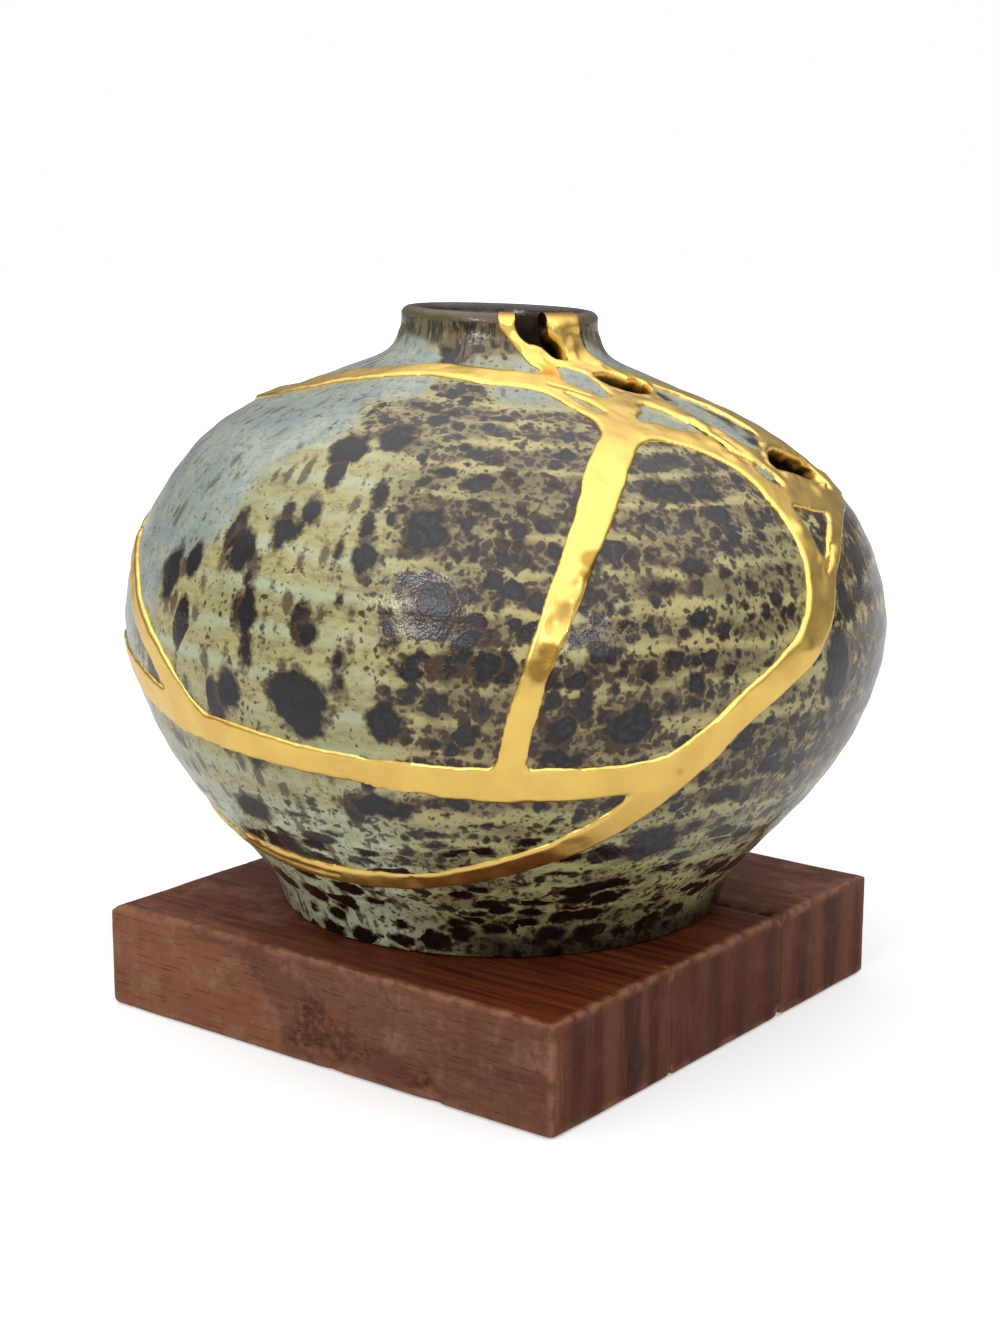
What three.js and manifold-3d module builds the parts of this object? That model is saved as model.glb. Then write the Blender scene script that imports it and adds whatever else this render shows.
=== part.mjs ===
// A mended stoneware vase on a low plinth of three glued boards.
// Millimetres, +Z up. The origin is on the vase's axis, at the underside of the plinth.
// The boards run along X, and the front board's long face looks along -Y.

import * as THREE from 'three';
import { mergeVertices } from 'three/addons/utils/BufferGeometryUtils.js';
import Module from 'manifold-3d';

const wasm = await Module();
wasm.setup();

// Plinth: three boards side by side, with eased edges
const PLINTH_LENGTH = 110;
const PLINTH_HEIGHT = 21;
const PLINTH_CENTRE = [-0.5, -1.6];
const BOARD_WIDTHS = { plinth_front_board: 36.6, plinth_middle_board: 38.8, plinth_back_board: 34.6 };
const BOARD_EDGES = {
  plinth_front_board: { front: 0.8, back: 2 },
  plinth_middle_board: { front: 2, back: 3.2 },
  plinth_back_board: { front: 3.2, back: 2.4 },
};
const BOARD_END_EASING = { left: 3, right: 0.8 };
const PIECE_GAP = 0.3;

// Vase: outer wall as radius and height above the plinth, from the foot's edge to the lip
const VASE_TURN = 38;
const WALL_STATIONS = [
  [44.2, 0], [46.6, 6.5], [52, 13.2], [63.1, 26.4], [70.6, 39.6], [74.6, 56], [71, 72.6],
  [62, 86.1], [50, 95.5], [32, 103], [22.2, 107.2], [19.5, 111.4], [19.1, 114.2],
];
const WALL_THICKNESS = 4.4;
const NECK_THICKNESS = 3.7;
const FLOOR_THICKNESS = 6.5;
const WALL_SEGMENTS = 36;

// The thrown body is a little out of true: its axis sways, and the shoulder dips to one side
const SWAY = 0.8;
const SWAY_START = 10;
const SWAY_HALF_WAVE = 65;
const SHOULDER_DIP = 0.034;
const DIP_FROM = 72;
const DIP_FULL = 98;

// Gold: each crack opens from a slit inside the wall to a wide gap outside, and gold fills the gap
const SLIT_WIDTH = 1;
const SLIT_DEPTH = 7.2;
const GOLD_DEPTH = 3.8;
const GOLD_RISE = 0.5;
const CUT_RISE = 2.4;
const CRACK_STEP = 14;

// Each crack is a run of [azimuth in degrees, distance up the wall in mm, width of its gold in mm].
// Azimuth 0 is the vase's face, and it grows to the right.
const CRACKS = {
  shoulder: [
    [28, 118.5, 6], [25, 123.5, 4], [21.5, 128.5, 3.5], [18, 133.5, 4.2], [12, 137, 6], [-8, 139, 5.5],
    [-29, 140, 5], [-50, 136.8, 5], [-63, 133.8, 6], [-74, 128.5, 6.3], [-84, 123, 6], [-97, 118.5, 5],
    [-115, 112, 4.5], [-135, 107, 4], [-150, 105, 4], [-190, 104, 4], [-235, 99, 4], [-265, 95, 5], [-282, 95.5, 6],
  ],
  shoulder_branch: [[16, 136.8, 5], [26.5, 132.5, 3.2], [29.5, 127.5, 5], [29.5, 119.5, 5]],
  mouth_left: [[22, 150, 3], [20.5, 145.5, 4], [22, 142, 4.1], [19, 136.2, 3.6]],
  right_shoulder: [
    [35, 145, 3], [38, 144.6, 4], [41, 144, 5], [44.5, 143.5, 5.8], [48, 142.8, 6.5], [58, 140, 5],
    [67, 136.3, 5], [74, 131.5, 5.5], [78, 125, 6], [77, 117, 6], [77, 109, 6], [79, 102, 6],
    [78, 95.5, 6], [69, 92, 5], [61.5, 87.5, 4], [56.5, 83, 4], [51.5, 78.6, 4],
  ],
  hole_side: [[47, 143, 6], [43.5, 137, 5], [41, 131.5, 6]],
  front: [
    [41, 131.5, 6], [36, 127, 6.2], [30.4, 121.5, 6.5], [20, 108.5, 7.3], [14.4, 97.2, 6.8],
    [10.7, 89.2, 5.8], [7.8, 81.5, 6], [5.3, 75, 5], [1.9, 63, 4.9], [-0.5, 48, 5],
  ],
  hole_sill: [[41, 131.5, 6], [50.5, 128.5, 6]],
  oval_ring: [
    [62, 138.5, 4], [56, 132.5, 3.6], [50.5, 128.5, 5.5], [52, 124, 6], [53.7, 117.5, 5.7],
    [54.7, 111, 5.8], [59, 107.2, 4], [64.5, 107.8, 3.2], [69.5, 110.5, 3.4], [77.2, 112, 4],
  ],
  right_arc: [
    [29, 118.5, 8], [38, 117, 6.5], [46.2, 112.5, 7], [50.8, 104.5, 6.4], [51.5, 96, 5.2],
    [51.5, 86, 5.8], [51, 79, 8], [46.2, 70.5, 7], [40.7, 66, 6.2], [33.2, 60, 6.4], [27.6, 53.5, 6.5],
    [21.8, 46, 6.5], [13.4, 36.4, 6.1], [4.4, 30, 5.3], [-4.5, 25.5, 4.9], [-18.3, 21, 5],
    [-34, 20.3, 5.2], [-50, 21, 5.5], [-66, 23, 5.5], [-90, 27, 5], [-120, 34, 4.5], [-155, 48, 4.5],
    [-195, 66, 4.5], [-225, 84, 4.5], [-240, 98.6, 4.5],
  ],
  facet: [[51.2, 97.5, 4], [54, 98.3, 5.5], [57, 98.7, 8], [62, 97, 9], [67, 95, 7], [74.5, 93.8, 5]],
  belt: [
    [27.3, 53.2, 6.4], [22.3, 50, 6.4], [15.4, 48.6, 6.5], [7, 48.2, 6.8], [-2, 48.2, 7],
    [-12.3, 49.1, 6.4], [-24, 50.4, 5.6], [-43, 52.8, 6.4], [-56, 54.4, 6.8], [-64, 57, 6.6], [-71, 58.8, 6],
    [-80, 60.5, 5.4], [-95, 61, 4.5], [-115, 57, 4.5], [-130, 47, 4.5], [-137, 40.5, 4.5],
  ],
  left_side: [
    [-50, 55.5, 5], [-54, 59.5, 5.6], [-59.5, 65.5, 5.4], [-66.5, 71, 5], [-73, 76.5, 4.6], [-82, 81.5, 4.4],
    [-93, 85.5, 4], [-104, 92, 4], [-112, 101, 4], [-117, 111.5, 4],
  ],
};

// Gold laid along the broken edges of the mouth, in the same terms
const MOUTH_EDGES = {
  left_edge: [
    [1.5, 153.6, 2.6], [3, 152, 2.4], [6.5, 150.6, 2], [10, 148.8, 2], [15, 147.2, 3], [20.5, 145.5, 4],
  ],
  right_edge: [[38.5, 153.6, 8], [38.5, 151, 8], [41, 148, 6.5], [46, 145, 6], [48, 143.5, 6]],
  sill: [[22, 146.2, 4], [26, 145.2, 4], [30, 144.4, 3.4], [37, 143.8, 3.4], [43, 143.5, 4]],
};

// What is missing: the broken-out mouth and two holes in the shoulder
const LOSSES = {
  mouth_notch: [
    [17, 160, 6.4], [17, 153, 6.4], [18, 151.4, 6], [20.5, 150.3, 4.4], [24, 149.2, 3], [28, 147.8, 2.6],
    [31.5, 146.5, 3], [34.5, 145.6, 1.8], [37.5, 144.7, 1.2],
  ],
  upper_hole: [[43.5, 138.3, 2.5], [48, 136.8, 5], [53, 134.3, 4.6], [61, 135.3, 2]],
  lower_hole: [[65.5, 105.5, 4], [70, 104.3, 8], [75, 101.5, 7], [76.5, 98.5, 3]],
};

// A point inside each shard, as azimuth and distance up the wall
const SHARDS = {
  neck_shard: [-140, 130],
  front_left_shard: [-30, 90],
  front_right_shard: [30, 85],
  lower_crescent_shard: [-30, 36],
  base_shard: [60, 30],
  back_shard: [-170, 80],
  oval_shard: [65, 120],
  triangle_shard: [57, 91],
  leaf_chip: [33, 137],
  thin_chip: [24.5, 129.5],
  splinter_shard: [54, 103.5],
};

const GLAZE_COLOUR = 0xb2ac86;
const GOLD_COLOUR = 0xe2b455;
const WOOD_COLOUR = 0x6e3a28;

// Solids

function toSolid(geometry) {
  geometry.deleteAttribute('normal');
  geometry.deleteAttribute('uv');
  const merged = mergeVertices(geometry, 1e-4);
  const corners = merged.index.array;
  const kept = [];
  for (let i = 0; i < corners.length; i += 3) {
    const [a, b, c] = [corners[i], corners[i + 1], corners[i + 2]];
    if (a !== b && b !== c && c !== a) kept.push(a, b, c);
  }
  const mesh = new wasm.Mesh({
    numProp: 3,
    vertProperties: new Float32Array(merged.attributes.position.array),
    triVerts: new Uint32Array(kept),
  });
  return new wasm.Manifold(mesh);
}

function toGeometry(solid) {
  const mesh = solid.getMesh();
  const geometry = new THREE.BufferGeometry();
  geometry.setAttribute('position', new THREE.BufferAttribute(new Float32Array(mesh.vertProperties), 3));
  geometry.setIndex(new THREE.BufferAttribute(new Uint32Array(mesh.triVerts), 1));
  return geometry;
}

function joined(solids) {
  return solids.reduce((sum, solid) => sum.add(solid));
}

function largest(solid) {
  return solid.decompose().reduce((best, piece) => (piece.volume() > best.volume() ? piece : best));
}

// The wall, by the distance up it from the foot's edge

const wall = new THREE.CatmullRomCurve3(
  WALL_STATIONS.map(([radius, height]) => new THREE.Vector3(radius, 0, height)), false, 'catmullrom', 0.5);
wall.arcLengthDivisions = 1200;
const WALL_RUN = wall.getLength();

function wallAt(up, out) {
  const along = THREE.MathUtils.clamp(up / WALL_RUN, 0, 1);
  const point = wall.getPointAt(along);
  const tangent = wall.getTangentAt(along);
  point.addScaledVector(tangent, up - along * WALL_RUN);
  return new THREE.Vector2(point.x + out * tangent.z, point.z - out * tangent.x);
}

function onVase(azimuth, up, out) {
  const { x: radius, y: height } = wallAt(up, out);
  const angle = THREE.MathUtils.degToRad(azimuth);
  return new THREE.Vector3(radius * Math.sin(angle), -radius * Math.cos(angle), height);
}

function turned(profile) {
  const lathe = new THREE.LatheGeometry(profile, WALL_SEGMENTS);
  lathe.rotateX(Math.PI / 2);
  return toSolid(lathe);
}

// Outer line, with its points closer together where the wall curves hard
function outerLine() {
  const ups = [0, 6.9, 14, 24, 36, 50, 65, 80, 93, 105, 117, 128, 136, 141, 145, 148.5, WALL_RUN];
  return ups.map((up) => wallAt(up, 0));
}

function wallSolid() {
  const lip = wallAt(WALL_RUN, 0);
  const lipRadius = NECK_THICKNESS / 2;
  const rim = [60, 90, 120].map((degrees) => {
    const angle = THREE.MathUtils.degToRad(degrees);
    return new THREE.Vector2(
      lip.x - lipRadius + lipRadius * Math.cos(angle), lip.y + lipRadius * Math.sin(angle));
  });
  const inner = [WALL_RUN, 145, 136, 122, 108, 92, 75, 57, 40, 24].map((up) => {
    const thickness = THREE.MathUtils.mapLinear(
      THREE.MathUtils.clamp(up, 134, WALL_RUN), 134, WALL_RUN, WALL_THICKNESS, NECK_THICKNESS);
    return wallAt(up, -thickness);
  });
  const floorEdge = new THREE.Vector2(wallAt(14, -WALL_THICKNESS).x - 3, FLOOR_THICKNESS);
  const profile = [
    new THREE.Vector2(0, 0), ...outerLine(), ...rim, ...inner, floorEdge,
    new THREE.Vector2(0, FLOOR_THICKNESS),
  ];
  return turned(profile);
}

// Where along a run to measure it: at each of its points, and between points that are far apart
function stepsAlong(run) {
  const steps = [0];
  for (let i = 1; i < run.length; i += 1) {
    const [from, to] = [run[i - 1], run[i]];
    const mmPerDegree = THREE.MathUtils.degToRad(wallAt(from[1], 0).x);
    const length = Math.hypot((to[0] - from[0]) * mmPerDegree, to[1] - from[1]);
    const count = Math.ceil(length / CRACK_STEP);
    for (let k = 1; k <= count; k += 1) steps.push((i - 1 + k / count) / (run.length - 1));
  }
  return steps;
}

// A box bent along a run. Its length follows the run, and its depth goes from low to high above
// the wall's surface. halfWidthAt gives half its width from the run's width and that depth.
function bentBox(run, low, high, halfWidthAt) {
  const curve = new THREE.CatmullRomCurve3(
    run.map((values) => new THREE.Vector3(...values)), false, 'catmullrom', 0.5);
  const steps = stepsAlong(run);
  const count = steps.length - 1;
  const box = new THREE.BoxGeometry(1, 1, 1, count, 1, 1);
  const vertices = box.attributes.position;
  for (let i = 0; i < vertices.count; i += 1) {
    const along = steps[Math.round((vertices.getX(i) + 0.5) * count)];
    const out = vertices.getZ(i) < 0 ? low : high;
    const { x: azimuth, y: up, z: width } = curve.getPoint(along);
    const heading = curve.getTangent(along);
    const outward = onVase(azimuth, up, 1).sub(onVase(azimuth, up, 0));
    const ahead = onVase(azimuth + heading.x * 0.01, up + heading.y * 0.01, 0).sub(onVase(azimuth, up, 0));
    const sideways = outward.clone().cross(ahead).normalize();
    const offset = Math.sign(vertices.getY(i)) * halfWidthAt(width, out);
    const point = onVase(azimuth, up, out).addScaledVector(sideways, offset);
    vertices.setXYZ(i, ...point.toArray());
  }
  return toSolid(box);
}

function gapHalfWidth(width, out) {
  return THREE.MathUtils.mapLinear(out, -SLIT_DEPTH, 0, SLIT_WIDTH / 2, width / 2);
}

const crackSolid = (run) => bentBox(run, -SLIT_DEPTH, CUT_RISE, gapHalfWidth);
const lossSolid = (run) => bentBox(run, -SLIT_DEPTH * 1.5, SLIT_DEPTH, (width) => width / 2);
const goldHalfWidth = (width, out) => gapHalfWidth(width, out) - PIECE_GAP;
const goldFill = (run) => bentBox(run, -GOLD_DEPTH, GOLD_RISE, goldHalfWidth);
const goldEdge = (run) => bentBox(run, PIECE_GAP, PIECE_GAP + GOLD_RISE, (width) => width / 2);

// Sway and dip the true form, as the mended vase stands
function settle(geometry) {
  const vertices = geometry.attributes.position;
  for (let i = 0; i < vertices.count; i += 1) {
    const [x, z] = [vertices.getX(i), vertices.getZ(i)];
    const sway = SWAY * Math.sin((Math.PI * (z - SWAY_START)) / SWAY_HALF_WAVE);
    const foot = THREE.MathUtils.smoothstep(z, 0, SWAY_START);
    const dip = SHOULDER_DIP * x * THREE.MathUtils.smoothstep(z, DIP_FROM, DIP_FULL);
    vertices.setX(i, x + sway * foot);
    vertices.setZ(i, z - dip);
  }
  geometry.computeVertexNormals();
  return geometry;
}

// Vase

const losses = joined(Object.values(LOSSES).map(lossSolid));

function shardSolids() {
  const cracks = joined(Object.values(CRACKS).map(crackSolid));
  const pieces = wallSolid().subtract(cracks).subtract(losses).decompose();
  return Object.entries(SHARDS).map(([name, [azimuth, up]]) => {
    const probe = new THREE.IcosahedronGeometry(0.5);
    probe.translate(...onVase(azimuth, up, -WALL_THICKNESS / 2).toArray());
    const marker = toSolid(probe);
    return [name, pieces.find((piece) => !piece.intersect(marker).isEmpty())];
  });
}

function goldSolid() {
  const fills = Object.values(CRACKS).map(goldFill);
  const edges = Object.values(MOUTH_EDGES).map(goldEdge);
  return largest(joined([...fills, ...edges]).subtract(losses));
}

function named(name, geometry, colour, roughness, metalness) {
  const material = new THREE.MeshStandardMaterial({ color: colour, roughness, metalness });
  const mesh = new THREE.Mesh(geometry, material);
  mesh.name = name;
  return mesh;
}

function vase() {
  const group = new THREE.Group();
  for (const [name, solid] of shardSolids()) {
    group.add(named(name, settle(toGeometry(solid)), GLAZE_COLOUR, 0.3, 0));
  }
  group.add(named('gold_repair', settle(toGeometry(goldSolid())), GOLD_COLOUR, 0.35, 1));
  group.rotation.z = THREE.MathUtils.degToRad(VASE_TURN);
  group.position.z = PLINTH_HEIGHT + PIECE_GAP;
  return group;
}

// Plinth

// A rectangle standing on the x axis, with its two left and two right corners rounded
function easedRectangle(width, height, left, right) {
  const shape = new THREE.Shape();
  shape.moveTo(left, 0);
  shape.lineTo(width - right, 0);
  shape.absarc(width - right, right, right, -Math.PI / 2, 0);
  shape.absarc(width - right, height - right, right, 0, Math.PI / 2);
  shape.lineTo(left, height);
  shape.absarc(left, height - left, left, Math.PI / 2, Math.PI);
  shape.absarc(left, left, left, Math.PI, Math.PI * 1.5);
  return shape;
}

function extruded(shape, depth) {
  return new THREE.ExtrudeGeometry(shape, { depth, bevelEnabled: false, curveSegments: 2 });
}

function board(width, edges) {
  const section = extruded(easedRectangle(width, PLINTH_HEIGHT, edges.front, edges.back), PLINTH_LENGTH);
  section.rotateX(Math.PI / 2).rotateZ(Math.PI / 2);
  const ends = BOARD_END_EASING;
  const elevation = extruded(easedRectangle(PLINTH_LENGTH, PLINTH_HEIGHT, ends.left, ends.right), width);
  elevation.rotateX(Math.PI / 2).translate(0, width, 0);
  return toSolid(section).intersect(toSolid(elevation));
}

function plinth() {
  const group = new THREE.Group();
  const totalWidth = Object.values(BOARD_WIDTHS).reduce((sum, width) => sum + width);
  let front = PLINTH_CENTRE[1] - totalWidth / 2;
  for (const [name, width] of Object.entries(BOARD_WIDTHS)) {
    const geometry = toGeometry(board(width - PIECE_GAP, BOARD_EDGES[name]));
    geometry.computeVertexNormals();
    const mesh = named(name, geometry, WOOD_COLOUR, 0.5, 0);
    mesh.position.set(PLINTH_CENTRE[0] - PLINTH_LENGTH / 2, front + PIECE_GAP / 2, 0);
    group.add(mesh);
    front += width;
  }
  return group;
}

const part = new THREE.Group();
part.add(plinth(), vase());

export default part;
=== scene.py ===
# The looks of a mended stoneware vase on a plinth of three boards.
# Sizes are in millimetres up to the point where a mesh is made, and in metres after it.

import math

import bmesh
import bpy
import numpy as np
from mathutils import Matrix, Vector


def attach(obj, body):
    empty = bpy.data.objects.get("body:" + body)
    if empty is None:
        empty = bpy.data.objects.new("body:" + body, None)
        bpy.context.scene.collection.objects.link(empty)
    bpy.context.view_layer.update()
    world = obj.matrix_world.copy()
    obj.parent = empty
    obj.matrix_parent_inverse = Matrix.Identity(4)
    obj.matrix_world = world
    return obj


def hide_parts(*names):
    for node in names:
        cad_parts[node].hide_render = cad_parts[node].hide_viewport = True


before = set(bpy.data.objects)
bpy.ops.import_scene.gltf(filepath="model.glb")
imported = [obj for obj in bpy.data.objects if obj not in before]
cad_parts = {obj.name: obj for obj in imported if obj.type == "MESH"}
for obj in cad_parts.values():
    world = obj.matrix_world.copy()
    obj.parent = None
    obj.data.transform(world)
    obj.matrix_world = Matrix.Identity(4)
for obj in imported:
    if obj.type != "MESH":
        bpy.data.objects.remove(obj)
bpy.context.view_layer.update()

# Sizes shared with the solids

PLINTH_LENGTH = 110
PLINTH_HEIGHT = 21
PLINTH_CENTRE = (-0.5, -1.6)
BOARD_WIDTHS = {"plinth_front_board": 36.6, "plinth_middle_board": 38.8, "plinth_back_board": 34.6}
PIECE_GAP = 0.3

VASE_TURN = 38
WALL_STATIONS = [
    (44.2, 0), (46.6, 6.5), (52, 13.2), (63.1, 26.4), (70.6, 39.6), (74.6, 56), (71, 72.6),
    (62, 86.1), (50, 95.5), (32, 103), (22.2, 107.2), (19.5, 111.4), (19.1, 114.2),
]
WALL_THICKNESS = 4.4
NECK_THICKNESS = 3.7
NECK_FROM = 134  # distance up the wall at which it starts to thin
FLOOR_THICKNESS = 6.5
FLOOR_FROM, FLOOR_EDGE = 24, 14
# How far in from the wall the curve down to the floor ends, and the point that it bends round lies
FLOOR_CURVE, FLOOR_CORNER = 11, 7.5
SWAY, SWAY_START, SWAY_HALF_WAVE = 0.8, 10, 65
SHOULDER_DIP, DIP_FROM, DIP_FULL = 0.034, 72, 98

# Where the seams, chips, losses and spots lie on the wall

# Each run is a list of (azimuth in degrees, distance up the wall, width)
CRACKS = {
    "shoulder": [
        (28, 118.5, 6), (25, 123.5, 4), (21.5, 128.5, 3.5), (18, 133.5, 4.2), (12, 137, 6), (-8, 139, 5.5),
        (-29, 140, 5), (-50, 136.8, 5), (-63, 133.8, 6), (-74, 128.5, 6.3), (-84, 123, 6), (-97, 118.5, 5),
        (-115, 112, 4.5), (-135, 107, 4), (-150, 105, 4), (-190, 104, 4), (-235, 99, 4), (-265, 95, 5),
        (-282, 95.5, 6),
    ],
    "shoulder_branch": [(16, 136.8, 5), (26.5, 132.5, 3.2), (29.5, 127.5, 5), (29.5, 119.5, 5)],
    "mouth_left": [(22, 150, 3), (20.5, 145.5, 4), (22, 142, 4.1), (19, 136.2, 3.6)],
    "right_shoulder": [
        (35, 145, 3), (41, 144, 5), (48, 142.8, 6.5), (58, 140, 5), (67, 136.3, 5), (74, 131.5, 5.5),
        (78, 125, 6), (77, 117, 6), (77, 109, 6), (79, 102, 6), (78, 95.5, 6), (69, 92, 5),
        (61.5, 87.5, 4), (56.5, 83, 4), (51.5, 78.6, 4),
    ],
    "hole_side": [(47, 143, 6), (43.5, 137, 5), (41, 131.5, 6)],
    "front": [
        (41, 131.5, 6), (36, 127, 6.2), (30.4, 121.5, 6.5), (20, 108.5, 7.3), (14.4, 97.2, 6.8),
        (10.7, 89.2, 5.8), (7.8, 81.5, 6), (5.3, 75, 5), (1.9, 63, 4.9), (-0.5, 48, 5),
    ],
    "hole_sill": [(41, 131.5, 6), (50.5, 128.5, 6)],
    "oval_ring": [
        (62, 138.5, 4), (56, 132.5, 3.6), (50.5, 128.5, 5.2), (51.8, 124, 4.8), (53.4, 117.5, 4.6),
        (54.5, 111, 5.6), (58.4, 107, 4.8), (64.5, 107.6, 3.2), (70, 109.6, 3.6),
        (74.5, 113.5, 3.6), (77.5, 118, 4),
    ],
    "right_arc": [
        (29, 118.5, 8), (38, 117, 6.5), (46.2, 112.5, 7), (50.8, 104.5, 6.4), (51.5, 96, 5.2),
        (51.5, 86, 5.8), (51, 79, 8), (46.2, 70.5, 7), (40.7, 66, 6.2), (33.2, 60, 6.4), (27.6, 53.5, 6.5),
        (21.8, 46, 6.5), (13.4, 36.4, 6.1), (4.4, 30, 5.3), (-4.5, 25.5, 4.9), (-18.3, 21, 5),
        (-34, 20.3, 5.2), (-50, 21, 5.5), (-66, 23, 5.5), (-90, 27, 5), (-120, 34, 4.5), (-155, 48, 4.5),
        (-195, 66, 4.5), (-225, 84, 4.5), (-240, 98.6, 4.5),
    ],
    "facet": [(51.2, 97.5, 4), (54, 98.3, 5.5), (57, 98.7, 8), (62, 97, 9), (67, 95, 7), (74.5, 93.8, 5)],
    "belt": [
        (27.3, 53.2, 6.4), (22.3, 50, 6.4), (15.4, 48.6, 6.5), (7, 48.2, 6.8), (-2, 48.2, 7),
        (-12.3, 49.1, 6.4), (-24, 50.4, 5.6), (-43, 52.8, 6.4), (-56, 54.4, 6.8), (-64, 57, 6.6),
        (-71, 58.8, 6), (-80, 60.5, 5.4), (-95, 61, 4.5), (-115, 57, 4.5), (-130, 47, 4.5),
        (-137, 40.5, 4.5),
    ],
    "left_side": [
        (-50, 55.5, 5), (-54, 59.5, 5.6), (-59.5, 65.5, 5.4), (-66.5, 71, 5), (-73, 76.5, 4.6),
        (-82, 81.5, 4.4), (-93, 85.5, 4), (-104, 92, 4), (-112, 101, 4), (-117, 111.5, 4),
    ],
    "mouth_left_edge": [
        (1.5, 157, 2.8), (2.5, 152, 2.8), (6, 150.4, 2.6), (10.5, 148.6, 2.8), (16, 146.8, 3.8),
        (21, 145.3, 4.6),
    ],
    "mouth_right_edge": [(38.5, 157, 8), (38.5, 152, 8), (40, 149.5, 7.6), (44, 147, 6), (48, 143.5, 6.4)],
    "hollow_sill": [(24, 146, 3), (30, 144.2, 2.6), (37, 143.6, 3), (43, 143.5, 4)],
    "hole_lip": [(58.5, 107.5, 4), (58, 104, 4), (60.5, 101.6, 4), (66, 98.8, 4), (71, 96, 4)],
    "hole_top": [(67, 109.5, 3), (73, 109.5, 4), (77.2, 107, 5)],
    "chip_field": [(22, 134, 4), (28, 131, 5), (33, 126.5, 6), (36, 121, 6)],
}
# Openings in the gold, where a chip shows
WINDOWS = {
    "leaf": [(28.8, 141.9, 1.8), (32.1, 137.1, 4.9), (34.2, 132.7, 3.6)],
    "thin": [(21.5, 132.5, 0.7), (24.9, 128.5, 1.9), (27, 124.9, 1.1)],
    "triangle": [(37, 121.8, 2.1), (41.5, 122, 4.4), (44.6, 118, 1.5)],
    "splinter": [(53.5, 104.5, 1.8), (54.8, 102.7, 3.2), (55.6, 100.8, 1.8)],
}
# Where the wall is gone
LOSSES = {
    "mouth_notch": [
        (17, 160, 6.4), (17, 153, 6.4), (18, 151.4, 6), (20.5, 150.3, 4.4), (24, 149.2, 3),
        (28, 147.8, 2.6), (31.5, 146.5, 3), (34.5, 145.6, 1.6),
    ],
    "upper_hole": [(44.3, 138.5, 3.2), (48.5, 136.2, 7.2), (53.5, 134.2, 6.8), (61, 135.3, 2.6)],
    "lower_hole": [
        (61, 104.7, 2.8), (65.5, 105, 6.6), (70, 103.7, 8.8), (74.5, 100.8, 7.8), (76.2, 97.4, 4),
    ],
}
# Narrow slits in the gold
SLITS = {
    "oval_slit": [(50.3, 119.3, 0.5), (50.9, 115, 1.0), (51.4, 110.7, 1.7), (54, 106.9, 0.5)],
    "side_slit": [(57.8, 85.4, 0.4), (55, 82.5, 0.9), (53.5, 81.3, 0.5)],
}
LOSS_LINING = 1.2  # width of the gold round each loss
LINING_FILLET = 1.0
SEAM_FILLET = 2.2
# Fine grooves along the gold
GROOVES = {
    "arc_groove": [(-66, 23.4, 0.2), (-56, 21.8, 0.4), (-44, 20.8, 0.5), (-33, 20.6, 0.3)],
    "branch_groove": [(17, 135.6, 0.3), (22, 133.8, 0.4), (28, 131, 0.2)],
}
# Lumps and dents of the gold: azimuth, distance up the wall, reach and height
LUMPS = [
    (71.5, 97.2, 1.7, 1.2), (33, 150.5, 2.6, 0.5), (41, 147.6, 2.2, 0.55), (47.5, 151.6, 2, 0.4),
    (53, 143.2, 2.6, 0.5), (10, 85.5, 3, 0.7), (6.6, 77.2, 2.8, -0.5), (11.8, 91.5, 2.6, -0.5),
    (14.4, 97.5, 2.6, 0.5), (8.4, 81.5, 2.4, 0.4), (18.5, 105.5, 3, -0.4), (51.4, 90, 2.6, 0.5),
    (50.6, 79.5, 3, -0.4), (44.5, 68.8, 2.8, 0.4), (58.5, 134.2, 2, 0.6), (66.5, 96.2, 2.2, 0.5),
]
# Dark amber patches painted on the gold as painted reflections of a dark surround: azimuth, distance up the
# wall, reach and strength
PAINTED_DARK_REFLECTIONS = [
    (12.2, 88, 3.4, 1.1), (10.8, 85.4, 2.2, 0.8), (9.4, 83.8, 1.6, 0.5), (5.2, 72.4, 3.2, 1.2),
    (4, 69.6, 3.4, 1.2), (17.8, 103.6, 1.6, 0.4), (72.5, 96.4, 2.6, 0.7), (60.5, 98, 2.6, 0.5),
    (-28, 50, 2.2, 0.4), (45.2, 70, 1.8, 0.5), (24, 49.6, 2.4, 0.5),
]

# Points inside each shard, as azimuth and distance up the wall
SHARDS = {
    "neck_shard": [(-140, 130)],
    "front_left_shard": [(-30, 90)],
    "front_right_shard": [(30, 85)],
    "lower_crescent_shard": [(-30, 36)],
    "base_shard": [(60, 30)],
    "back_shard": [(-170, 80)],
    "oval_shard": [(63, 118)],
    "triangle_shard": [(57.5, 91)],
    "leaf_chip": [(32.1, 137.1)],
    "thin_chip": [(24.9, 128.5)],
    "splinter_shard": [(41.5, 122), (54.8, 102.7)],
}

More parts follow.
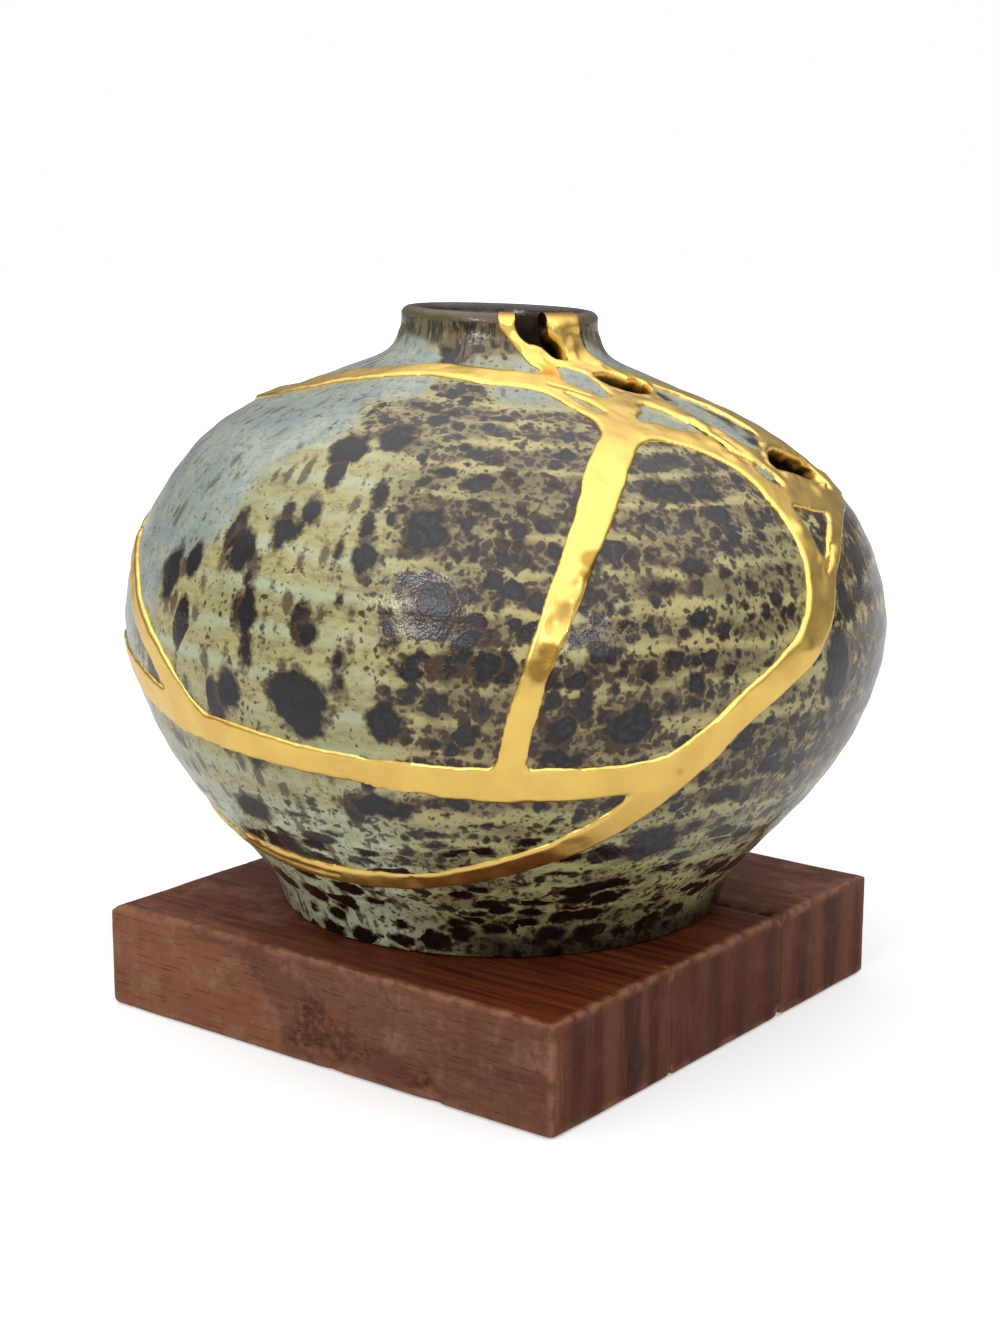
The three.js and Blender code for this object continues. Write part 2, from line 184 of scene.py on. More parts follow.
# The largest glaze spots: azimuth, distance up the wall, width, height
GREAT_SPOTS = [
    (-29, 61.8, 11.5, 12.5), (-41.4, 62.3, 5, 7), (-22.9, 66.1, 3, 6), (-37.9, 76.1, 3.4, 12.5),
    (-57.2, 80.3, 5.5, 10), (-27.3, 74.3, 3.5, 4.7), (-15.5, 75.1, 2.8, 4.3), (-5.5, 74.5, 4.3, 6),
    (-9.8, 80.2, 7.5, 6.4), (-16.4, 59.9, 6.5, 7), (-19.4, 42.3, 12.5, 5.5), (-45.3, 35.7, 10, 7),
    (-40.9, 26.1, 7, 6.5), (-29.4, 109.9, 6.4, 7.4), (-21.6, 114, 6.5, 7), (-12.1, 93.6, 7, 9),
    (-30.6, 95.8, 3.2, 3.7), (-35, 91.3, 5.5, 5.4), (-42.3, 87.5, 6.5, 7.5), (-20.4, 87.2, 4.6, 6),
    (-51.9, 83.8, 4, 6), (29, 101.5, 9.4, 5.2), (36.3, 101.5, 5.6, 6), (27.1, 86.3, 7.2, 3.3),
    (22.8, 82.7, 6.4, 3.5), (12.4, 72.6, 4.6, 4.2), (16, 59.8, 8.6, 7), (6.7, 59.1, 5, 4.8),
    (21.7, 62.9, 4, 4.2), (52.3, 64.2, 9, 13), (23.7, 32, 11, 9), (6.3, 53.4, 8.5, 3.4),
    (34.4, 42.1, 7, 4.4), (-3, 70.8, 4, 5), (-7.7, 69.5, 3.6, 4), (25.3, 65.9, 3.8, 3.8),
    (69, 119.4, 3.4, 5), (70.4, 114.2, 4, 4.4), (64.8, 111.6, 3.6, 2.6), (59.8, 130, 2.4, 3.6),
    (-22, 145, 5.2, 6),
]


def smoothstep(value, low, high):
    t = np.clip((value - low) / (high - low), 0, 1)
    return t * t * (3 - 2 * t)


def between(value, start, full, fade, gone):
    """One from full to fade, falling to nothing at start and gone."""
    return smoothstep(value, start, full) * (1 - smoothstep(value, fade, gone))


def catmull_rom(points, per_span):
    """A smooth line through the points, with per_span steps between each two."""
    p = np.asarray(points, float)
    q = np.vstack([2 * p[0] - p[1], p, 2 * p[-1] - p[-2]])
    t = np.linspace(0, 1, per_span, endpoint=False)[:, None]
    spans = []
    for a, b, c, d in zip(q, q[1:], q[2:], q[3:]):
        square = 2 * a - 5 * b + 4 * c - d
        cube = 3 * b - a - 3 * c + d
        spans.append(0.5 * (2 * b + (c - a) * t + square * t**2 + cube * t**3))
    return np.vstack([*spans, p[-1:]])


def lattice(ix, iy, iz, seed):
    """A repeatable number from 0 to 1 for each lattice point."""
    h = (ix * 374761393 + iy * 668265263 + iz * 1274126177 + seed * 974711) & 0xFFFFFFFF
    h = ((h ^ (h >> 13)) * 1103515245) & 0xFFFFFFFF
    h = ((h ^ (h >> 16)) * 2246822519) & 0xFFFFFFFF
    return ((h ^ (h >> 15)) & 0xFFFFFF) / 0xFFFFFF


def noise(points, size, seed):
    """Smooth noise from -1 to 1 at points in mm, with lumps of about that size."""
    p = np.asarray(points, float) / size
    cell = np.floor(p).astype(np.int64)
    f = p - cell
    f = f * f * f * (f * (f * 6 - 15) + 10)
    total = np.zeros(len(p))
    for dx in (0, 1):
        for dy in (0, 1):
            for dz in (0, 1):
                weight = (f[:, 0] if dx else 1 - f[:, 0]) * (f[:, 1] if dy else 1 - f[:, 1])
                weight = weight * (f[:, 2] if dz else 1 - f[:, 2])
                total += weight * lattice(cell[:, 0] + dx, cell[:, 1] + dy, cell[:, 2] + dz, seed)
    return total * 2 - 1


# The vase's wall

PROFILE = catmull_rom(WALL_STATIONS, 60)
PROFILE_RUN = np.concatenate([[0], np.cumsum(np.hypot(*np.diff(PROFILE, axis=0).T))])
WALL_RUN = PROFILE_RUN[-1]
TANGENT = np.gradient(PROFILE, PROFILE_RUN, axis=0)
TANGENT /= np.linalg.norm(TANGENT, axis=1)[:, None]


def radius_at(up):
    return np.interp(up, PROFILE_RUN, PROFILE[:, 0])


def wall_at(up, out):
    """Radius and height of a point on the wall, out mm outside its surface."""
    r = radius_at(up)
    z = np.interp(up, PROFILE_RUN, PROFILE[:, 1])
    tr = np.interp(up, PROFILE_RUN, TANGENT[:, 0])
    tz = np.interp(up, PROFILE_RUN, TANGENT[:, 1])
    return r + out * tz, z - out * tr


def settle(x, y, z):
    """Sway and dip the true form, as the mended vase stands."""
    sway = SWAY * np.sin(np.pi * (z - SWAY_START) / SWAY_HALF_WAVE) * smoothstep(z, 0, SWAY_START)
    return x + sway, y, z - SHOULDER_DIP * x * smoothstep(z, DIP_FROM, DIP_FULL)


def stand(az, r, z):
    """Points on the settled vase, in mm in the part's frame."""
    a = np.radians(az)
    x, y, z = settle(r * np.sin(a), -r * np.cos(a), z)
    c, s = math.cos(math.radians(VASE_TURN)), math.sin(math.radians(VASE_TURN))
    return np.stack([c * x - s * y, s * x + c * y, z + PLINTH_HEIGHT + PIECE_GAP], -1)


def outer_points(az, up, out):
    return stand(az, *wall_at(up, out))


def turn_from(az, place_az):
    """The turn in degrees from a place to each azimuth, from -180 to 180."""
    return (az - place_az + 180) % 360 - 180


def away_from(az, up, place_az, place_up):
    """How far points of the wall are from a place on it, in mm."""
    return np.hypot(np.radians(turn_from(az, place_az)) * radius_at(up), up - place_up)


def thickness_at(up):
    return np.interp(up, [NECK_FROM, WALL_RUN], [WALL_THICKNESS, NECK_THICKNESS])


def inner_points(az, up, inset):
    """The inside of the wall, and below FLOOR_FROM the inside of the floor, down to its centre."""
    r, z = wall_at(np.maximum(up, FLOOR_FROM), inset - thickness_at(up))
    r0, z0 = wall_at(FLOOR_FROM, -WALL_THICKNESS)
    edge = r0 - FLOOR_CURVE
    t = np.clip((FLOOR_FROM - up) / (FLOOR_FROM - FLOOR_EDGE), 0, 1)
    corner_r, corner_z = r0 - FLOOR_CORNER, FLOOR_THICKNESS
    curve_r = (1 - t) ** 2 * r0 + 2 * t * (1 - t) * corner_r + t**2 * edge
    curve_z = (1 - t) ** 2 * z0 + 2 * t * (1 - t) * corner_z + t**2 * FLOOR_THICKNESS
    r = np.where(up < FLOOR_FROM, curve_r, r)
    z = np.where(up < FLOOR_FROM, curve_z, z)
    r = np.where(up < FLOOR_EDGE, edge * up / FLOOR_EDGE, r)
    return stand(az, r, z)


def rim_points(az, turn, out):
    """The lip's round top. turn goes from 0 outside to 1 inside."""
    r, z = wall_at(WALL_RUN, 0)
    half = NECK_THICKNESS / 2
    angle = np.pi * turn
    return stand(az, r - half + (half + out) * np.cos(angle), z + (half + out) * np.sin(angle))


# Fields over the wall, on a grid of azimuth and distance up

RUN_STEP = 0.35


class Grid:
    def __init__(self, az_step, up_step):
        self.columns = int(round(360 / az_step))
        self.az = np.linspace(-180, 180, self.columns + 1)
        self.up = np.linspace(0, WALL_RUN, int(round(WALL_RUN / up_step)) + 1)
        self.radius = radius_at(self.up)
        self.shape = (len(self.up), len(self.az))

    def distance(self, run, reach=6.0):
        """Distance from the edge of a run, below zero inside it."""
        field = np.full(self.shape, reach)
        run = np.asarray(run, float)
        span = np.hypot(np.diff(run[:, 0]), np.diff(run[:, 1])).max()
        step = self.az[1] - self.az[0]
        for az, up, width in catmull_rom(run, int(max(8, span / RUN_STEP))):
            far = width / 2 + reach
            low, high = np.searchsorted(self.up, [up - far, up + far])
            if low >= high:
                continue
            r = self.radius[low:high, None]
            wide = min(179, math.degrees(far / r.min()))
            first = math.ceil((az - wide + 180) / step)
            last = math.floor((az + wide + 180) / step)
            columns = np.arange(first, last + 1) % self.columns
            across = np.radians(turn_from(self.az[columns], az)) * r
            gap = np.hypot(across, self.up[low:high, None] - up) - width / 2
            block = np.ix_(np.arange(low, high), columns)
            field[block] = np.minimum(field[block], gap)
        field[:, -1] = field[:, 0]
        return field

    def points(self):
        az, up = np.meshgrid(self.az, self.up)
        return az.ravel(), up.ravel()

    def triangles(self):
        rows, columns = len(self.up), len(self.az)
        a = (np.arange(rows - 1)[:, None] * columns + np.arange(columns - 1)).ravel()
        b, c, d = a + 1, a + columns + 1, a + columns
        return np.concatenate([np.stack([a, b, c], 1), np.stack([a, c, d], 1)])


def smooth_union(a, b, fillet):
    h = np.clip(0.5 + 0.5 * (b - a) / fillet, 0, 1)
    return b * (1 - h) + a * h - fillet * h * (1 - h)


def nearest(grid, runs):
    return np.minimum.reduce([grid.distance(run) for run in runs.values()])


def mend_fields(grid):
    """The fields of the gold and of the losses, below zero where gold is and where the wall is gone."""
    az, up = grid.points()
    on_wall = outer_points(az, up, 0)
    wobble = 0.22 * noise(on_wall, 5, 1) + 0.14 * noise(on_wall, 2.1, 2) + 0.05 * noise(on_wall, 0.9, 3)
    wobble = wobble.reshape(grid.shape)
    gold = None
    for run in CRACKS.values():
        field = grid.distance(run)
        gold = field if gold is None else smooth_union(gold, field, SEAM_FILLET)
    loss = nearest(grid, LOSSES) + 0.8 * wobble
    gold = smooth_union(gold, loss - LOSS_LINING, LINING_FILLET)
    gold = np.maximum(gold + wobble, -(nearest(grid, WINDOWS) + 0.5 * wobble))
    loss = np.minimum(loss, nearest(grid, SLITS) + 1.2 * wobble)
    return gold, loss


def kept_part(values, triangles, field):
    """The part of a flat mesh where field is above zero, cut along its zero line."""
    inside = field > 0
    corners = inside[triangles]
    count = corners.sum(1)
    n = len(values)
    faces = [triangles[count == 3]]
    one, two = triangles[count == 1], triangles[count == 2]
    turn = np.argmax(inside[one], 1)
    one = one[np.arange(len(one))[:, None], (turn[:, None] + [0, 1, 2]) % 3]
    turn = np.argmin(inside[two], 1)
    two = two[np.arange(len(two))[:, None], (turn[:, None] + [0, 1, 2]) % 3]
    pairs = np.concatenate([one[:, [0, 1]], one[:, [0, 2]], two[:, [0, 1]], two[:, [0, 2]]])
    low, high = pairs.min(1), pairs.max(1)
    keys, which = np.unique(low * n + high, return_inverse=True)
    a, b = keys // n, keys % n
    t = (field[a] / (field[a] - field[b]))[:, None]
    values = np.vstack([values, values[a] * (1 - t) + values[b] * t])
    which = which + n
    k, m = len(one), len(two)
    o1, o2 = which[:k], which[k:2 * k]
    t1, t2 = which[2 * k:2 * k + m], which[2 * k + m:]
    faces.append(np.stack([one[:, 0], o1, o2], 1))
    faces.append(np.stack([t1, two[:, 1], two[:, 2]], 1))
    faces.append(np.stack([t1, two[:, 2], t2], 1))
    return values, np.concatenate(faces)


def welded(values, triangles):
    """Drop unused points, and join the two sides of the seam at the back."""
    per_unit = 10000
    key = np.column_stack([(values[:, 0] + 180) % 360, values[:, 1]])
    key = np.round(key * per_unit).astype(np.int64)
    key[:, 0] %= 360 * per_unit
    _, first, which = np.unique(key, axis=0, return_index=True, return_inverse=True)
    triangles = which.ravel()[triangles]
    values = values[first]
    a, b, c = triangles.T
    triangles = triangles[(a != b) & (b != c) & (c != a)]
    used, triangles = np.unique(triangles, return_inverse=True)
    return values[used], triangles.reshape(-1, 3)


def islands(count, triangles):
    """The number of the joined island that each point is in."""
    label = np.arange(count)
    while True:
        low = label[triangles].min(1)
        new = label.copy()
        for k in range(3):
            np.minimum.at(new, triangles[:, k], low)
        new = new[new]
        if np.array_equal(new, label):
            return label
        label = new


def border(triangles):
    """The edges that only one triangle uses, in that triangle's direction."""
    e = np.concatenate([triangles[:, [0, 1]], triangles[:, [1, 2]], triangles[:, [2, 0]]])
    n = e.max() + 1
    key = e.min(1) * n + e.max(1)
    _, first, times = np.unique(key, return_index=True, return_counts=True)
    return e[first[times == 1]]


EDGE_REACH = 1e-3  # points this near the lip or the foot count as on it
LIP_TURNS = np.linspace(0, 1, 9)[1:-1]
BREAK_DEPTHS = np.linspace(0, 1, 7)[1:-1]


def closed_shell(az, up, triangles, out, inset, lip_out=0.0, broken=None, bulge=None):
    """Points, polygons and depths of a closed piece of the wall, from its outer face.

    The edges between broken points get rows of points between the outer and the inner face, moved by bulge.
    """
    n = len(az)
    outer, inner = outer_points(az, up, out), inner_points(az, up, inset)
    points, depth = [outer, inner], [np.zeros(n), np.ones(n)]
    polygons = triangles.tolist() + (triangles[:, ::-1] + n).tolist()

    def wall(edges, rows):
        """Faces from outer edge to inner edge, by way of the rows, and the points of each column."""
        ids, local = np.unique(edges, return_inverse=True)
        a, b = local.reshape(-1, 2).T
        first = sum(map(len, points))
        rings = [ids]
        for k, row in enumerate(rows(ids)):
            points.append(row[0])
            depth.append(np.full(len(ids), row[1]))
            rings.append(first + k * len(ids) + np.arange(len(ids)))
        rings.append(ids + n)
        for upper, lower in zip(rings, rings[1:]):
            polygons.extend(np.stack([upper[b], upper[a], lower[a], lower[b]], 1).tolist())
        return dict(zip(ids.tolist(), np.stack(rings, 1).tolist()))

    def lip_rows(ids):
        return [(rim_points(az[ids], turn, lip_out), turn) for turn in LIP_TURNS]

    def broken_rows(ids):
        rows = []
        for t in BREAK_DEPTHS:
            row = outer[ids] * (1 - t) + inner[ids] * t
            rows.append((row + bulge(ids, row, t), t))
        return rows

    edge = border(triangles)
    top, foot = (up[edge] > WALL_RUN - EDGE_REACH).all(1), (up[edge] < EDGE_REACH).all(1)
    rough = broken[edge].all(1) if broken is not None else np.zeros(len(edge), bool)
    columns, lip = {}, {}
    for chosen, rows in ((~top & ~foot & ~rough, lambda ids: []), (~top & ~foot & rough, broken_rows)):
        if chosen.any():
            columns.update(wall(edge[chosen], rows))
    if top.any():
        lip = wall(edge[top], lip_rows)
    lip_ends = set(edge[top][:, 1].tolist())
    for corner in lip.keys() & columns.keys():
        loop = lip[corner] + columns[corner][-2:0:-1]
        polygons.append(loop if corner in lip_ends else loop[::-1])
    if foot.any():
        centre = sum(map(len, points))
        points.append(stand(np.zeros(1), np.zeros(1), np.zeros(1)))
        depth.append(np.ones(1))
        polygons.extend([b, a, centre] for a, b in edge[foot].tolist())
    return np.vstack(points), polygons, np.concatenate(depth)


METRES_PER_MM = 0.001


def make_mesh(name, points, polygons, attributes):
    """A mesh object from points in mm, with named numbers on its points."""
    mesh = bpy.data.meshes.new(name)
    mesh.from_pydata((points * METRES_PER_MM).tolist(), [], polygons)
    for key, values in attributes.items():
        values = np.asarray(values, np.float32)
        kind, field = ("FLOAT", "value") if values.ndim == 1 else ("FLOAT_VECTOR", "vector")
        mesh.attributes.new(key, kind, "POINT").data.foreach_set(field, values.ravel())
    mesh.validate()
    piece = bpy.data.objects.new(name, mesh)
    bpy.context.scene.collection.objects.link(piece)
    return piece


def clean(piece, sharp_degrees):
    """Join points that coincide, smooth the shading, and keep the sharp edges."""
    work = bmesh.new()
    work.from_mesh(piece.data)
    bmesh.ops.remove_doubles(work, verts=work.verts, dist=1e-7)
    bmesh.ops.dissolve_degenerate(work, edges=work.edges, dist=1e-8)
    work.to_mesh(piece.data)
    work.free()
    piece.data.polygons.foreach_set("use_smooth", [True] * len(piece.data.polygons))
    piece.data.set_sharp_from_angle(angle=math.radians(sharp_degrees))


# The shards

RING_PITCH = 6.8
RING_START = 1.4
RING_HEIGHT = 0.06
SHARD_INSET = 0.11  # brings the uneven glaze inside the solids' wall
GOLD_OVERLAP = 0.35  # how far a shard goes on under the gold's edge
SHARD_SHARP = 40


def ring_phase(az, up, on_wall):
    """Counts the throwing rings up the wall, one turn of the spiral to each ring."""
    drift = 0.34 * noise(on_wall, 46, 11) + 0.12 * noise(on_wall, 17, 12)
    return (up + RING_START) / RING_PITCH + az / 360 + drift


SPAN = 60  # the radius that stands for all the wall in the glaze's own coordinates
# Where the pale ash of the left shoulder ends: distance up the wall and azimuth
ASH_EDGE = [
    (60, -67), (71, -61), (81, -56), (91.5, -50.4), (102.4, -46.3), (114.4, -37.8),
    (128, -31), (138.4, -28),
]
FAR_FROM_SPOTS = 6.0


def glaze_numbers(az, up):
    """What the glaze needs to know at each point of the wall."""
    az = turn_from(az, 0)
    on_wall = outer_points(az, up, 0)
    r = radius_at(up)
    spot = np.full(len(az), FAR_FROM_SPOTS)
    for spot_az, spot_up, width, height in GREAT_SPOTS:
        x = np.radians(turn_from(az, spot_az)) * r / (width / 2)
        y = (up - spot_up) / (height / 2)
        size = min(width, height) / 2
        spot = np.minimum(spot, (np.hypot(x, y) - 1) * size)
    # The pale ash lies from the left shoulder round to the back, below the neck, and on the right shoulder
    edge = np.interp(up, *zip(*ASH_EDGE))
    left_of_edge = np.radians(edge - az) * r + 5 * noise(on_wall, 10, 21) + 2.5 * noise(on_wall, 4, 25)
    round_back = np.maximum(smoothstep(az, -176, -140), smoothstep(up, 100, 110))
    pale = smoothstep(left_of_edge, -4, 5) * smoothstep(up, 54, 74) * round_back
    under_neck = between(up, 134.5, 138.5, 144.5, 147.5)
    pale = np.maximum(pale, under_neck * (0.74 + 0.4 * noise(on_wall, 12, 22)))
    right_top = smoothstep(az, 26, 28.5) * between(up, 115.5, 117.5, 145, 147)
    right_top = np.maximum(right_top, smoothstep(az, 53, 55) * smoothstep(up, 100, 104))
    pale = np.maximum(pale, 0.95 * right_top)
    shoulder_band = smoothstep(up + 3 * noise(on_wall, 9, 26), 124, 131) * (1 - smoothstep(up, 139, 140))
    shoulder_band = shoulder_band * (1 - between(az, -27, -21, -7, 1))
    pale = np.maximum(pale, 0.72 * shoulder_band)
    # Brown mottling, dense on the face and to the right of it
    shift = 16 * smoothstep(up, 104, 118)
    dense = smoothstep(az + shift + 5 * noise(on_wall, 8, 27), -23, -9)
    dense = dense * (1 - 0.55 * smoothstep(az, 150, 180))
    thin = between(az, 17, 27, 47, 54) * between(up, 54, 60, 84, 95)
    brown = 0.1 + 0.9 * dense * (1 - 0.3 * thin)
    below = 1 - smoothstep(up, 38, 47)
    brown = brown * (1 - below) + below * (0.2 + 0.42 * smoothstep(az, -45, -18))
    brown = np.maximum(brown, 0.5 * (1 - smoothstep(az, -165, -130)))
    brown = brown + 0.2 * noise(on_wall, 22, 23)
    brown = np.minimum(brown, 1) + 0.28 * np.exp(-((az + 9) / 17) ** 2 - ((up - 71) / 15) ** 2)
    brown = brown * (1 - 0.9 * pale)
    left = (1 - smoothstep(az + shift, -24, -12)) * smoothstep(az, -178, -145)
    outer_right = between(az, 49, 56, 140, 178) * (1 - smoothstep(up, 92, 100))
    neck = smoothstep(up + 2.8 * noise(on_wall, 4.5, 24) + 5 * np.exp(-((az + 20) / 5) ** 2), 146, 148.4)
    low = 1 - smoothstep(up, 29, 46)
    # The foot band: dark glaze with painted contact shade, full from the front round the right side and
    # faint elsewhere
    foot = 1 - smoothstep(up + 2.2 * noise(on_wall, 6, 28), 2.5, 12)
    foot = foot * (0.15 + 0.85 * between(az, -22, 0, 140, 178))
    a = np.radians(az)
    return {
        "ring": ring_phase(az, up, on_wall), "spot": spot, "pale": np.clip(pale, 0, 1),
        "brown": np.clip(brown, 0, 1.3), "left": left, "right": outer_right, "neck": neck, "low": low,
        "foot": foot, "wall": np.stack([SPAN * np.sin(a), -SPAN * np.cos(a), up], 1),
    }


def ring_relief(phase, up):
    return RING_HEIGHT * (np.cos(2 * np.pi * phase) - 0.75) * between(up, 6, 30, 128, 140)


def build_shards(grid, gold, loss):
    az, up = grid.points()
    field = np.minimum(gold + GOLD_OVERLAP, loss).ravel()
    flat, triangles = kept_part(np.column_stack([az, up]), grid.triangles(), field)
    flat, triangles = welded(flat, triangles)
    label = islands(len(flat), triangles)
    made = {}
    for name, probes in SHARDS.items():
        mine = np.zeros(len(flat), bool)
        for probe in probes:
            mine |= label == label[np.argmin(away_from(*flat.T, *probe))]
        used, faces = np.unique(triangles[mine[triangles[:, 0]]], return_inverse=True)
        a, u = flat[used].T
        numbers = glaze_numbers(a, u)
        on_wall = outer_points(a, u, 0)
        uneven = 0.07 * noise(on_wall, 13, 31) + 0.04 * noise(on_wall, 4, 32)
        out = ring_relief(numbers["ring"], u) + uneven - SHARD_INSET
        out = np.where(u < EDGE_REACH, np.minimum(out, 0), out)
        points, polygons, depth = closed_shell(a, u, faces.reshape(-1, 3), out, 0.0)
        attributes = {"inside": depth}
        for key, values in numbers.items():
            rest = np.zeros((len(points) - 2 * len(a), *values.shape[1:])) + (key == "neck")
            attributes[key] = np.concatenate([values, values, rest])
        made[name] = make_mesh(name + "_glazed", points, polygons, attributes)
        clean(made[name], SHARD_SHARP)
    return made


# The gold

GOLD_RISE = 0.4
GOLD_SINK = 0.12  # how far the gold's outer edges and its inner face lie below the wall's surface
GOLD_ROUND = 0.75
GOLD_LIP = 0.3  # how far the gold stands out round the lip
GOLD_SHARP = 50
SMALLEST_GOLD = 60  # islands of fewer triangles are crumbs and are dropped


def gold_height(inset, on_wall):
    """How far the gold stands above the wall, by the distance in from its own edge."""
    t = np.clip(inset / GOLD_ROUND, 0, 1)
    lip = (GOLD_RISE + GOLD_SINK) * np.sqrt(1 - (1 - t) ** 2) - GOLD_SINK
    wave = 0.2 * noise(on_wall, 9, 41) + 0.15 * noise(on_wall, 4, 42) + 0.03 * noise(on_wall, 1.6, 43)
    return lip + wave * t


def build_gold(grid, gold, loss):
    az, up = grid.points()
    numbers = np.column_stack([az, up, -gold.ravel(), loss.ravel(), nearest(grid, GROOVES).ravel()])
    flat, triangles = kept_part(numbers, grid.triangles(), np.minimum(-gold, loss).ravel())
    flat, triangles = welded(flat, triangles)
    label = islands(len(flat), triangles)
    sizes = np.bincount(label[triangles[:, 0]], minlength=len(flat))
    large = sizes[label[triangles[:, 0]]] > SMALLEST_GOLD
    used, triangles = np.unique(triangles[large], return_inverse=True)
    triangles = triangles.reshape(-1, 3)
    a, u, from_edge, from_loss, from_groove = flat[used].T
    on_wall = outer_points(a, u, 0)
    inset = np.minimum(from_edge, from_loss)
    at_loss = smoothstep(4.5 - from_loss, 0, 3.5)
    crumbly = 0.35 * noise(on_wall, 3.2, 45) + 0.16 * noise(on_wall, 1.5, 46)
    rough = at_loss * crumbly * np.clip(inset / 1.5, 0, 1)
    groove = smoothstep(0.45 - from_groove, 0, 0.5)
    out = gold_height(inset, on_wall) + rough - 0.3 * groove

    def around(place_az, place_up, reach):
        """One at a place on the wall, falling to nothing a little beyond its reach."""
        return np.exp(-2 * (away_from(a, u, place_az, place_up) / reach) ** 2)

    for *place, height in LUMPS:
        out += height * around(*place) * np.clip(inset / 0.6, 0, 1)
    # Painted dark reflections, carried in the attribute thin
    thin = np.maximum.reduce([strength * around(*place) for *place, strength in PAINTED_DARK_REFLECTIONS])

    def bulge(ids, row, t):
        swell = 0.9 * math.sin(math.pi * t) * (0.35 + noise(row, 3.1, 51))
        return swell[:, None] * np.column_stack([noise(row, 2.6, seed) for seed in (52, 53, 54)])

    broken = from_loss < from_edge
    points, polygons, depth = closed_shell(a, u, triangles, out, GOLD_SINK, GOLD_LIP, broken, bulge)
    # Depth for painted shade: the shell gives the inner face and broken walls theirs; the outer face gets a
    # little at the losses' edges and more in the grooves
    depth[:len(a)] = np.maximum(0.12 * smoothstep(0.8 - from_loss, 0, 0.8), 0.3 * groove)
    thin = np.concatenate([thin, np.zeros(len(points) - len(a))])
    piece = make_mesh("gold_seams", points, polygons, {"painted_shade_depth": depth, "thin": thin})
    clean(piece, GOLD_SHARP)
    return piece


# The plinth

# The radii of each board's front and back edges, first along its top and then along its bottom
BOARD_EDGES = {
    "plinth_front_board": ((0.8, 0.5), (0.8, 2.2)),
    "plinth_middle_board": ((0.5, 3.0), (2.0, 3.2)),
    "plinth_back_board": ((2.6, 2.4), (2.4, 2.4)),
}
# The radii of the boards' left and right ends, first along the top and then along the bottom
BOARD_END_RADII = ((4.4, 0.9), (1.6, 0.8))
OUTER_CORNER_RADIUS = 1.6
JOINT_RADIUS = 0.25
JOINT_GAP = 0.06
BOARD_SHARP = 50
TINY = 1e-6
FAR_AWAY = 99
CORE_DEPTH = 4  # a board's surface faces away from a core this far inside it
BOARD_STEPS = (0.9, 0.9, 0.8)
FINE_EDGE = 3.0  # how far in from a board's edges its points lie closer together
# Patches of torn grain on the front face: x, z, and how far they reach along each
TORN_PATCHES = [(0.4, 7.1, 11, 8), (25.8, 3.2, 5, 3.4)]
# Where the front face's pale patch ends: z and x, from the bottom edge to the top
FADED_EDGE = [(0, -9), (5, -9.2), (9, -10.4), (13.4, -14), (17.6, -20.6), (18.7, -27.8), (21, -50)]
KNOT = (-31, 6)  # y and z of a dark knot in the right end


def axis_steps(low, high, step, easing):
    """Coordinates along one side of a board, close together near its ends."""
    ends = easing * np.array([0, 0.06, 0.2, 0.4, 0.65, 1.0])
    count = int((high - low - 2 * easing) / step) + 1
    middle = np.linspace(low + easing, high - easing, count)
    return np.unique(np.concatenate([low + ends, middle, high - ends]))


def rounded(a, b, a_range, b_range, radii):
    """Round the corners of a rectangle that a and b lie on. radii are for its low and its high a."""
    radius = np.where(a < sum(a_range) / 2, *radii)
    ca = np.clip(a, a_range[0] + radius, a_range[1] - radius)
    cb = np.clip(b, b_range[0] + radius, b_range[1] - radius)
    da, db = a - ca, b - cb
    both = (np.abs(da) > 0) & (np.abs(db) > 0)
    reach = np.maximum(np.abs(da), np.abs(db)) / np.maximum(np.hypot(da, db), 1e-9)
    return np.where(both, ca + da * reach, a), np.where(both, cb + db * reach, b)


def box_sheets(xs, ys, zs):
    """The points of a box's six sides, each a grid, and their faces."""
    points, polygons, count = [], [], 0
    for axis, (first, second) in enumerate([(ys, zs), (xs, zs), (xs, ys)]):
        for end in (0, -1):
            p, q = np.meshgrid(first, second, indexing="ij")
            sheet = [p.ravel(), q.ravel()]
            sheet.insert(axis, np.full(p.size, (xs, ys, zs)[axis][end]))
            points.append(np.stack(sheet, 1))
            row = len(second)
            i = (np.arange(len(first) - 1)[:, None] * row + np.arange(row - 1)).ravel() + count
            face = np.stack([i, i + row, i + row + 1, i + 1], 1)
            polygons += (face if (end == -1) == (axis != 1) else face[:, ::-1]).tolist()
            count += p.size
    return np.vstack(points), polygons


def near_front(flat, front):
    return smoothstep(front + 0.5 - flat[:, 1], -0.6, 0.2)


def torn_grain(flat, front):
    """How torn the front face is, in two patches along its lower edge."""
    on_front = near_front(flat, front)
    torn = np.zeros(len(flat))
    for x, z, reach_x, reach_z in TORN_PATCHES:
        near = 1 - np.hypot((flat[:, 0] - x) / reach_x, (flat[:, 2] - z) / reach_z)
        torn = np.maximum(torn, smoothstep(near + 0.4 * noise(flat, 4, 71), 0, 0.5) * on_front)
    return torn


